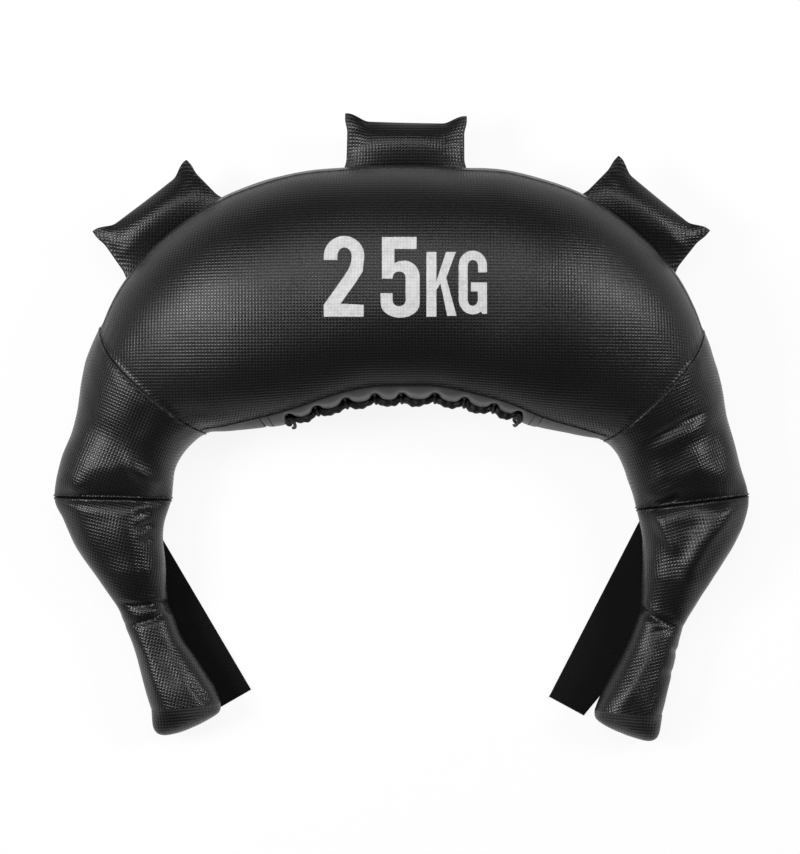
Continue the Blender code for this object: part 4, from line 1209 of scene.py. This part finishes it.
def lip_sheet(name, side):
    """Smooth leather of a lip, from its seam to its hem, gathered at the stitches."""
    first, last = MOUTH_RUN[[0, -1]]
    middle = np.linspace(first + 0.005, last - 0.005, 170)
    distances = np.concatenate((first + np.array(EDGES), middle, last - np.array(EDGES)[::-1]))
    places, base, out, _ = mouth_frames(distances)
    hem, thick = hem_middle(distances), hem_thickness(distances)
    laced = smooth(np.minimum(distances - HEM_ENDS[0], HEM_ENDS[1] - distances) / HEM_FADE)
    pull = smooth((LIP_LEVELS - LIP_PULL_START) / LIP_PULL_LENGTH)[:, None]
    points, uvs = [], []
    for index, place in enumerate(places):
        curve = section(place, 180 - side * gusset_angle(place) * (1 - LIP_LEVELS))
        level = side * (1.75 * thick[index] + FLOOR_GAP)
        top = base[index] + out[index] * (hem[index] - thick[index] * 0.55) + UP * level
        closed = curve[-1] + UP * side * 0.0003
        line = curve + (closed + (top - closed) * laced[index] - curve[-1]) * pull
        points.append(line)
        uvs.append(np.column_stack((np.full(len(line), distances[index]), run_along(line))))
    points, uvs = np.array(points), np.array(uvs)
    normals = normals_of(points) * (1 if side > 0 else -1)
    gap = uvs[..., 1]
    relief = -rolled(gap, radius=0.0010) - 0.0010 * bell(gap, width=0.0022)
    fold = np.exp(-((gap.max(axis=1, keepdims=True) - gap) / 0.026)) * smooth(gap / 0.012)
    phase = stitch_phase(uvs[..., 0])
    relief = relief - (LIP_GATHER * np.cos(phase) + LIP_FINE_GATHER * np.cos(2 * phase)) * fold
    for end in (first, last):
        relief = relief - rolled(np.abs(distances - end))[:, None]
    outer = points + normals * relief[..., None]
    made = thick_grid(f"mouth_{name}_leather", outer, outer - normals * SKIN, uvs, SMOOTH_FINISH)
    rows = [int(np.argmin(np.abs(distances - at))) for at in (first + LIP_SEWN_AT, last - LIP_SEWN_AT)]
    sewn = stitches(f"mouth_{name}_stitches", [(outer[row, 2:-1], normals[row, 2:-1]) for row in rows])
    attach(sewn, "bag_body")
    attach(made, "bag_body")
    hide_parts(f"mouth_{name}_lip")


def hem_tube(name, side):
    """Plump binding along a lip's edge, waved and pinched by the stitches."""
    distances = np.linspace(*HEM_ENDS, 420)
    _, base, out, _ = mouth_frames(distances)
    full = hem_thickness(distances)
    near_end = np.minimum(distances - distances[0], distances[-1] - distances)
    thick = full * np.sqrt(np.clip(near_end / 0.003, 0.05, 1.0))
    centre = base + out * hem_middle(distances)[:, None] + UP * side * (full + FLOOR_GAP)[:, None]
    turns = np.linspace(0, 2 * math.pi, HEM_SIDES + 1)[:-1]
    run = distances[:, None]
    folds = np.sin(run / 0.0013 + 2.2 * np.sin(turns)) * 0.00045
    folds = folds + np.sin(run / 0.0029 + 3.0 * np.cos(turns)) * 0.00040
    spokes = np.cos(turns)[:, None] * out[:, None] + np.sin(turns)[:, None] * UP
    rings = centre[:, None] + spokes * (thick[:, None] + folds)[..., None]
    around = np.linspace(0, 1, HEM_SIDES + 1) * 2 * math.pi * HEM_RADIUS
    uv = np.stack(np.meshgrid(around, distances), axis=-1)
    made = tube_mesh(f"mouth_{name}_hem", rings, None, uv, BINDING_FINISH)
    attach(made, "bag_body")
    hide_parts(f"mouth_{name}_lip")


# A stitch: its length, the gap to the next, its radius, and its form as shares of those
STITCH_LENGTH, STITCH_SPACE, STITCH_RADIUS = 0.0030, 0.0013, 0.00038
STITCH_RUN = np.array((0.0, 0.12, 0.5, 0.88, 1.0))
STITCH_RISE = np.array((-0.9, 0.35, 0.75, 0.35, -0.9))
STITCH_THICK = (0.45, 1.0, 1.0, 1.0, 0.45)
STITCH_SIDES = 6


def stitches(name, lines):
    """Rows of short thread stitches laid on a surface, as one mesh."""
    turns = np.linspace(0, 2 * math.pi, STITCH_SIDES + 1)[:-1]
    vertices, faces = [], []
    for line, normals in lines:
        run = run_along(line)
        start = STITCH_SPACE
        while start + STITCH_LENGTH < run[-1]:
            marks = start + STITCH_LENGTH * STITCH_RUN
            up = read_at(marks, run, normals)
            at = read_at(marks, run, line) + up * STITCH_RADIUS * STITCH_RISE[:, None]
            side = unit(np.cross(unit(at[-1] - at[0]), up[2]))
            spokes = np.outer(np.cos(turns), side) + np.outer(np.sin(turns), up[2])
            first = len(vertices)
            for spot, thick in zip(at, STITCH_THICK):
                vertices.extend(spot + STITCH_RADIUS * thick * spokes)
            for ring_start in range(first, len(vertices) - STITCH_SIDES, STITCH_SIDES):
                for k in range(STITCH_SIDES):
                    a, b = ring_start + k, ring_start + (k + 1) % STITCH_SIDES
                    faces.append((a, b, b + STITCH_SIDES, a + STITCH_SIDES))
            faces.append(tuple(range(first, first + STITCH_SIDES)))
            faces.append(tuple(range(len(vertices) - STITCH_SIDES, len(vertices))))
            start += STITCH_LENGTH + STITCH_SPACE
    return mesh_object(name, vertices, faces, THREAD_FINISH)


def cord_tube(name, points, radii, finish, sides=12):
    """Round cord along points, of one radius or of its own at each point, with blunt ends."""
    tangent = np.gradient(points, axis=0)
    tangent /= np.linalg.norm(tangent, axis=1, keepdims=True)
    side = np.cross(tangent[0], UP)
    rings = []
    turns = np.linspace(0, 2 * math.pi, sides + 1)[:-1]
    for point, way, radius in zip(points, tangent, np.broadcast_to(radii, len(points))):
        side = unit(side - way * (side @ way))
        spokes = np.outer(np.cos(turns), side) + np.outer(np.sin(turns), np.cross(way, side))
        rings.append(point + radius * spokes)
    uv = np.stack(np.meshgrid(np.linspace(0, 0.008, sides + 1), run_along(points)), axis=-1)
    return tube_mesh(name, np.array(rings), None, uv, finish)


def smooth_path(points, step):
    """Curve through points, read at even steps."""
    points = [Vector(p) for p in points]
    made = []
    for k, (start, end) in enumerate(zip(points, points[1:])):
        before, after = points[max(k - 1, 0)], points[min(k + 2, len(points) - 1)]
        count = max(2, round((end - start).length / step))
        made += [hermite(before, start, end, after, i / count) for i in range(count)]
    return np.array([tuple(p) for p in made + [points[-1]]])


# One turn of the lace: how far along, then how far out and up as shares of the hems' reach, and its last two
# points, on the way to the next stitch, which lie at shares of the way
LACE_TURN = (
    (0.0015, -0.75, -0.95), (0.0012, 0.62, -0.82), (0.0006, 1.0, -0.2), (0.0, 0.88, 0.60),
    (-0.0004, 0.20, 1.06), (-0.0006, -0.37, 1.22), (-0.0007, -0.52, 1.50), (-0.0006, -0.72, 1.80),
    (0.0004, -1.18, 1.85),
)
LACE_ONWARD = ((0.34, -1.25, 0.80), (0.70, -1.15, -0.5))
LACE_LAST = 5
LACE_STEP = 0.0012
LACE_OUT_SHARE, LACE_UP_SHARE = 0.7, 0.9

# The tied ends of the lace, from the first and the last stitch: how far out, onward and up
LACE_START = (
    (0.0054, -0.0016, -0.0150), (0.0052, -0.0004, -0.0100), (0.0052, 0.0016, -0.0040),
    (0.0015, 0.0026, 0.0065),
    (-0.0052, 0.0010, 0.0125), (-0.0052, -0.0036, 0.0110), (-0.0008, -0.0044, 0.0050),
    (0.0014, -0.0018, -0.0020),
)
LACE_END = (
    (-0.0034, 0.0030, 0.0125), (0.0004, 0.0040, 0.0070), (0.0026, 0.0008, 0.0040),
    (0.0004, -0.0026, 0.0075),
    (-0.0030, 0.0005, 0.0130), (0.0022, 0.0024, 0.0060), (0.0056, 0.0012, -0.0060), (0.0054, -0.0012, -0.0140),
)
LACE_START_RADII = (0.0004, 0.0008, 0.0011, 0.00125)
LACE_END_RADII = (0.0012, 0.0011, 0.0010, 0.0008, 0.0006, 0.0003)


def whipping():
    """One unbroken cord: over both hems at each stitch, on inside them to the next, and tied at both ends."""
    route = []
    for stitch, at in enumerate(STITCH_AT):
        way = STITCH_KNOTS[stitch + 2] - at
        turn = [*LACE_TURN, *[(share * way, out, up) for share, out, up in LACE_ONWARD]]
        if stitch == 0:
            turn = turn[1:]
        if stitch == len(STITCH_AT) - 1:
            turn = turn[:LACE_LAST]
        steps, sideways, levels = np.array(turn).T
        _, base, out, _ = mouth_frames(at + steps)
        thick = hem_thickness(at)
        reach = hem_middle(at) + sideways * (thick + LACE_RADIUS * LACE_OUT_SHARE)
        rise = levels * (2 * thick + LACE_RADIUS * LACE_UP_SHARE)
        route += list(base + out * reach[:, None] + UP * rise[:, None])
    _, base, out, onward = mouth_frames(STITCH_AT[[0, -1]])
    tails = []
    for k, table in enumerate((LACE_START, LACE_END)):
        tails.append([base[k] + out[k] * x + onward[k] * y + UP * z for x, y, z in table])
    path = smooth_path(tails[0] + route + tails[1], LACE_STEP)
    radii = np.full(len(path), LACE_RADIUS)
    radii[:len(LACE_START_RADII)] = LACE_START_RADII
    radii[-len(LACE_END_RADII):] = LACE_END_RADII
    lace = cord_tube("whipping_cord", path, radii, LACE_FINISH)
    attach(lace, "bag_body")
    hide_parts("closure_lace")


def arc(middle_x, middle_y, reach_x, reach_y, start, end, count=14):
    turns = np.radians(np.linspace(start, end, count))
    return [(middle_x + reach_x * math.cos(t), middle_y + reach_y * math.sin(t)) for t in turns]


# The weight in kilograms, in plain condensed figures: where each one's left edge and foot are in the
# photograph, and its outline from there
FIGURES = {
    "figure_two": (323.8, 316.6, [
        (0, 0), (39.8, 0), (39.8, 11.8), (16.7, 13), (31.5, 33.5), (38.8, 45),
        *arc(20.3, 60.5, 20.3, 20.1, -14, 180, 22), (0, 56.6), (13.6, 56.6),
        *arc(20.7, 60.5, 7.1, 8.7, 180, 0), (27.6, 56), (25.6, 49), (20.6, 41), (0, 11.8),
    ]),
    "figure_five": (380.4, 317.6, [
        (1.6, 80.6), (36.2, 80.6), (36.2, 68.6), (14, 68.6), (14, 54.6), (18.5, 56.4),
        *arc(23.6, 41, 15.6, 16, 90, 0), *arc(19.8, 14, 19.4, 14, 0, -180, 20), (0, 24.4), (12.2, 24.4),
        *arc(18.7, 17, 6.5, 5.6, 180, 360), *arc(18.7, 40, 6.5, 6.2, 0, 165), (12.2, 39), (1.6, 39),
    ]),
    "letter_k": (426.4, 316.6, [
        (0, 0), (10, 0), (10, 26.5), (14.0, 33.2), (20.8, 0.8), (30.2, 0.8), (19.8, 38.8),
        (29.4, 64.6), (19.6, 64.6), (10, 35.5), (10, 64.6), (0, 64.6),
    ]),
    "letter_g": (458.6, 314.4, [
        (28.4, 42), *arc(14.2, 48.5, 14.2, 15.3, 0, 180, 18), *arc(14.2, 15.3, 14.2, 15.3, 180, 305, 14),
        (23.8, 0.6), (28.4, 0.6), (28.4, 32), (12.4, 32), (12.4, 23), (19.2, 23),
        *arc(14.1, 14.5, 5.1, 6.0, 360, 180, 10), *arc(14.2, 48.5, 5.2, 6.0, 180, 0, 10), (19.4, 42),
    ]),
}
FIGURE_PROUD, FIGURE_SUNK = 0.0002, 0.0003
FIGURE_GRID = 2.0


def dense_outline(outline, step=1.6):
    """The outline's points, and more of them along its long sides."""
    made = []
    for (x0, y0), (x1, y1) in zip(outline, outline[1:] + outline[:1]):
        length = math.hypot(x1 - x0, y1 - y0)
        count = max(1, round(length / step))
        if length > 1e-6:
            made += [(x0 + (x1 - x0) * k / count, y0 + (y1 - y0) * k / count) for k in range(count)]
    return made


def weight_figures(leather):
    """Printed figures laid on the front panel's leather, a fifth of a millimetre proud of it."""
    tree = BVHTree.FromObject(leather, bpy.context.evaluated_depsgraph_get())
    mesh = leather.data
    flat = mesh.uv_layers["UVMap"].data
    eye = Vector((*CAMERA_PLACE, CAMERA_LEVEL + CAMERA_DISTANCE))
    for name, (left, foot, outline) in FIGURES.items():
        rim = dense_outline(outline)
        xs, ys = [np.arange(min(values), max(values), FIGURE_GRID) for values in zip(*rim)]
        shape = [Vector(p) for p in rim + [(x, y) for x in xs for y in ys]]
        spots, _, triangles, _, _, _ = delaunay_2d_cdt(shape, [], [list(range(len(rim)))], 1, 1e-5)
        top, low, uvs = [], [], []
        for spot in spots:
            aim = Vector((*photo(left + spot[0], foot - spot[1]), CAMERA_LEVEL))
            hit, normal, face, _ = tree.ray_cast(eye, aim - eye)
            corners = mesh.polygons[face]
            weights = poly_3d_calc([mesh.vertices[v].co for v in corners.vertices], hit)
            uv = sum((flat[k].uv * w for k, w in zip(corners.loop_indices, weights)), Vector((0, 0)))
            top.append(hit + normal * FIGURE_PROUD)
            low.append(hit - normal * FIGURE_SUNK)
            uvs.append(tuple(uv))
        count = len(spots)
        faces = [tuple(t) for t in triangles] + [tuple(count + k for k in t[::-1]) for t in triangles]
        edges = dict.fromkeys(edge for t in triangles for edge in zip(t, (*t[1:], t[0])))
        faces += [(b, a, count + a, count + b) for a, b in edges if (b, a) not in edges]
        made = mesh_object(name, top + low, faces, FIGURE_FINISH, uvs + uvs, 30.0)
        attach(made, "bag_body")


# Threads in the seams round the panels: name, angles whose start or end it follows, how proud it lies, and node
SEAM_THREADS = (
    ("outer", front_degrees, 0, -0.0003, "front_panel"),
    ("front_inner", front_degrees, 1, 0.0002, "front_panel"),
    ("back_inner", back_degrees, 0, 0.0002, "back_panel"),
)
SEAM_THREAD_RADIUS = 0.00070


def seam_threads():
    """Thread that lies in the seams round the front and back panels."""
    places = run_places(LEFT_SHOULDER, RIGHT_SHOULDER, 0.0035)
    for name, degrees_of, end, proud, node in SEAM_THREADS:
        spots = np.array([section(place, [degrees_of(place)[end]])[0] for place in places])
        middles = np.array([section(place, [0.0, 180.0]).mean(axis=0) for place in places])
        outward = (spots - middles) / np.linalg.norm(spots - middles, axis=1, keepdims=True)
        rise = uneven(spots, BODY_LUMPS)
        for tip in (spots[0], spots[-1]):
            away = np.linalg.norm(spots - tip, axis=1)
            rise = rise * (1 - bell(away, LUMPS_FADE)) - SEAM_DROP * bell(away, SEAM_DROP_REACH)
        path = spots + outward * (rise + proud)[:, None]
        thread = cord_tube(f"{name}_seam_thread", path[2:-2], SEAM_THREAD_RADIUS, SEAM_FINISH, 8)
        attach(thread, "bag_body")
        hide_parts(node)


def build_body():
    seam_threads()
    body = (LEFT_SHOULDER, RIGHT_SHOULDER)
    front = body_panel("front_leather", "front_panel", *body, front_degrees, 62, LEATHER_FINISH)
    weight_figures(front)
    body_filling()
    body_panel("back_leather", "back_panel", *body, back_degrees, 62, LEATHER_FINISH)
    strip = dict(degrees_of=gusset_degrees, count=14, finish=SMOOTH_FINISH, pitch=0.0025, sunk=0.0010)
    body_panel("gusset_strip_left", "gusset_left", LEFT_SHOULDER, MOUTH_START, ends=(True, False), **strip)
    body_panel("gusset_strip_right", "gusset_right", MOUTH_END, RIGHT_SHOULDER, ends=(False, True), **strip)


# An arm's shoulder, wrist and end, its way on from the body, the turn of its grain, and the dips of its upper
# sleeve and its grip at the wrist: depth, then reach at the inner edge, in the middle and at the outer edge
ARMS = {
    "left": (
        LEFT_SHOULDER, LEFT_WRIST, 0, -1.0, 24.0,
        (0.0145, 0.018, 0.034, 0.016), (0.0085, 0.010, 0.019, 0.008),
    ),
    "right": (
        RIGHT_SHOULDER, RIGHT_WRIST, RIGHT_END, 1.0, -24.0,
        (0.0160, 0.012, 0.036, 0.030), (0.0100, 0.008, 0.021, 0.008),
    ),
}
SHOULDER_DIP = (0.0016, 0.010, 0.016, 0.010)


def build_arm(side):
    shoulder, wrist, end, way, slant, upper_dip, grip_dip = ARMS[side]
    upper, grip = f"{side}_upper_arm", f"{side}_grip"
    pieces = sleeve_piece(
        f"{side}_upper", *sorted((shoulder, wrist)), SAND_FINISH,
        (f"{side}_upper_sleeve", f"{side}_arm_sand_pouch"),
        slant, [(shoulder, *SHOULDER_DIP), (wrist, *upper_dip)], [(shoulder, 0.0006), (wrist, 0.0014)],
    )
    for item in pieces:
        blended(item)
    pieces = sleeve_piece(
        grip, *sorted((wrist, end)), FILLER_FINISH, (f"{side}_grip_sleeve", f"{side}_grip_core"),
        slant * 0.5, [(wrist, *grip_dip)], [(wrist, 0.0010)],
    )
    for item in pieces:
        blended(item)
    end_piece(side, end, along(end) * way)


# Softboxes: place, aim, width, height and power
LAMPS = {
    "left_softbox": ((-1.80, 0.12, 2.05), (-0.05, 0.05, 0.08), 0.85, 0.9, 62.0),
    "right_softbox": ((1.95, 0.55, 1.80), (0.05, 0.05, 0.08), 0.65, 0.8, 38.0),
    "top_softbox": ((-0.12, 0.88, 2.70), (0.0, 0.12, 0.10), 1.5, 1.05, 29.0),
}
FLOOR_HALF = 6.0
FLOOR_WHITENESS = 0.90
WHITE = (1.0, 1.0, 1.0, 1.0)
CAMERA_SENSOR = 36.0


def build_floor():
    """Pale floor, which the camera and mirrors see as white."""
    mesh = bpy.data.meshes.new("floor")
    corners = [(x * FLOOR_HALF, y * FLOOR_HALF, 0) for x, y in ((-1, -1), (1, -1), (1, 1), (-1, 1))]
    mesh.from_pydata(corners, [], [(0, 1, 2, 3)])
    floor = linked("floor", mesh)
    floor.location.z = -FLOOR_GAP
    finish, tree, shader = blank("floor", (0.80, 0.80, 0.80), 0.9, 0.1)
    glow = shading(tree, "ShaderNodeEmission", 0, Color=WHITE, Strength=1.0)
    seen = tree.nodes.new("ShaderNodeLightPath")
    mix = tree.nodes.new("ShaderNodeMixShader")
    direct = calc(tree, "MAXIMUM", seen.outputs["Is Camera Ray"], seen.outputs["Is Glossy Ray"])
    direct = calc(tree, "MAXIMUM", direct, seen.outputs["Is Transmission Ray"])
    direct = calc(tree, "MULTIPLY", direct, FLOOR_WHITENESS)
    for socket, source in zip(mix.inputs, (direct, shader.outputs[0], glow)):
        tree.links.new(source, socket)
    tree.links.new(mix.outputs[0], tree.nodes["Material Output"].inputs["Surface"])
    mesh.materials.append(finish)


def build_studio():
    """Floor, a world that is bright near the horizon, three softboxes and the camera."""
    build_floor()
    world = bpy.data.worlds.new("studio")
    bpy.context.scene.world = world
    world.use_nodes = True
    tree = world.node_tree
    background = tree.nodes["Background"]
    split = tree.nodes.new("ShaderNodeSeparateXYZ")
    tree.links.new(shading(tree, "ShaderNodeTexCoord", "Generated"), split.inputs[0])
    background.inputs["Color"].default_value = WHITE
    joined(tree, background.inputs["Strength"], remap(tree, split.outputs[2], 0.02, 0.14, 0.9, 0.02))

    for name, (place, aim, width, height, power) in LAMPS.items():
        data = bpy.data.lights.new(name, "AREA")
        data.shape = "RECTANGLE"
        data.size, data.size_y = width, height
        data.energy = power
        lamp = linked(name, data)
        lamp.location = place
        lamp.rotation_mode = "QUATERNION"
        lamp.rotation_quaternion = (Vector(aim) - Vector(place)).to_track_quat("-Z", "Y")

    data = bpy.data.cameras.new("camera")
    data.sensor_width = CAMERA_SENSOR
    data.lens = CAMERA_SENSOR * CAMERA_DISTANCE / (PHOTO_HEIGHT * PIXEL)
    data.clip_start, data.clip_end = 0.1, 20.0
    camera = linked("camera", data)
    camera.location = (*CAMERA_PLACE, CAMERA_LEVEL + CAMERA_DISTANCE)
    bpy.context.scene.camera = camera
    bpy.context.scene.view_settings.view_transform = "Standard"


# Finishes of the CAD's own solids, by the first of these words that a node's name holds
NODE_FINISHES = (
    ("pouch", SAND_FINISH), ("side_grip_core", FOAM_FINISH), ("grip_core", FILLER_FINISH),
    ("strap", WEBBING_FINISH), ("lip", SMOOTH_FINISH), ("gusset", SMOOTH_FINISH), ("lace", LACE_FINISH),
    ("", LEATHER_FINISH),
)


build_studio()
build_body()
build_arm("left")
build_arm("right")
for name, side in (("front", 1), ("back", -1)):
    lip_sheet(name, side)
    hem_tube(name, side)
whipping()
for side in ("left", "right"):
    swing_strap(side)
for side in ("left", "top", "right"):
    side_pad(side)
for node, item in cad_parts.items():
    item.data.materials.clear()
    item.data.materials.append(next(finish for word, finish in NODE_FINISHES if word in node))
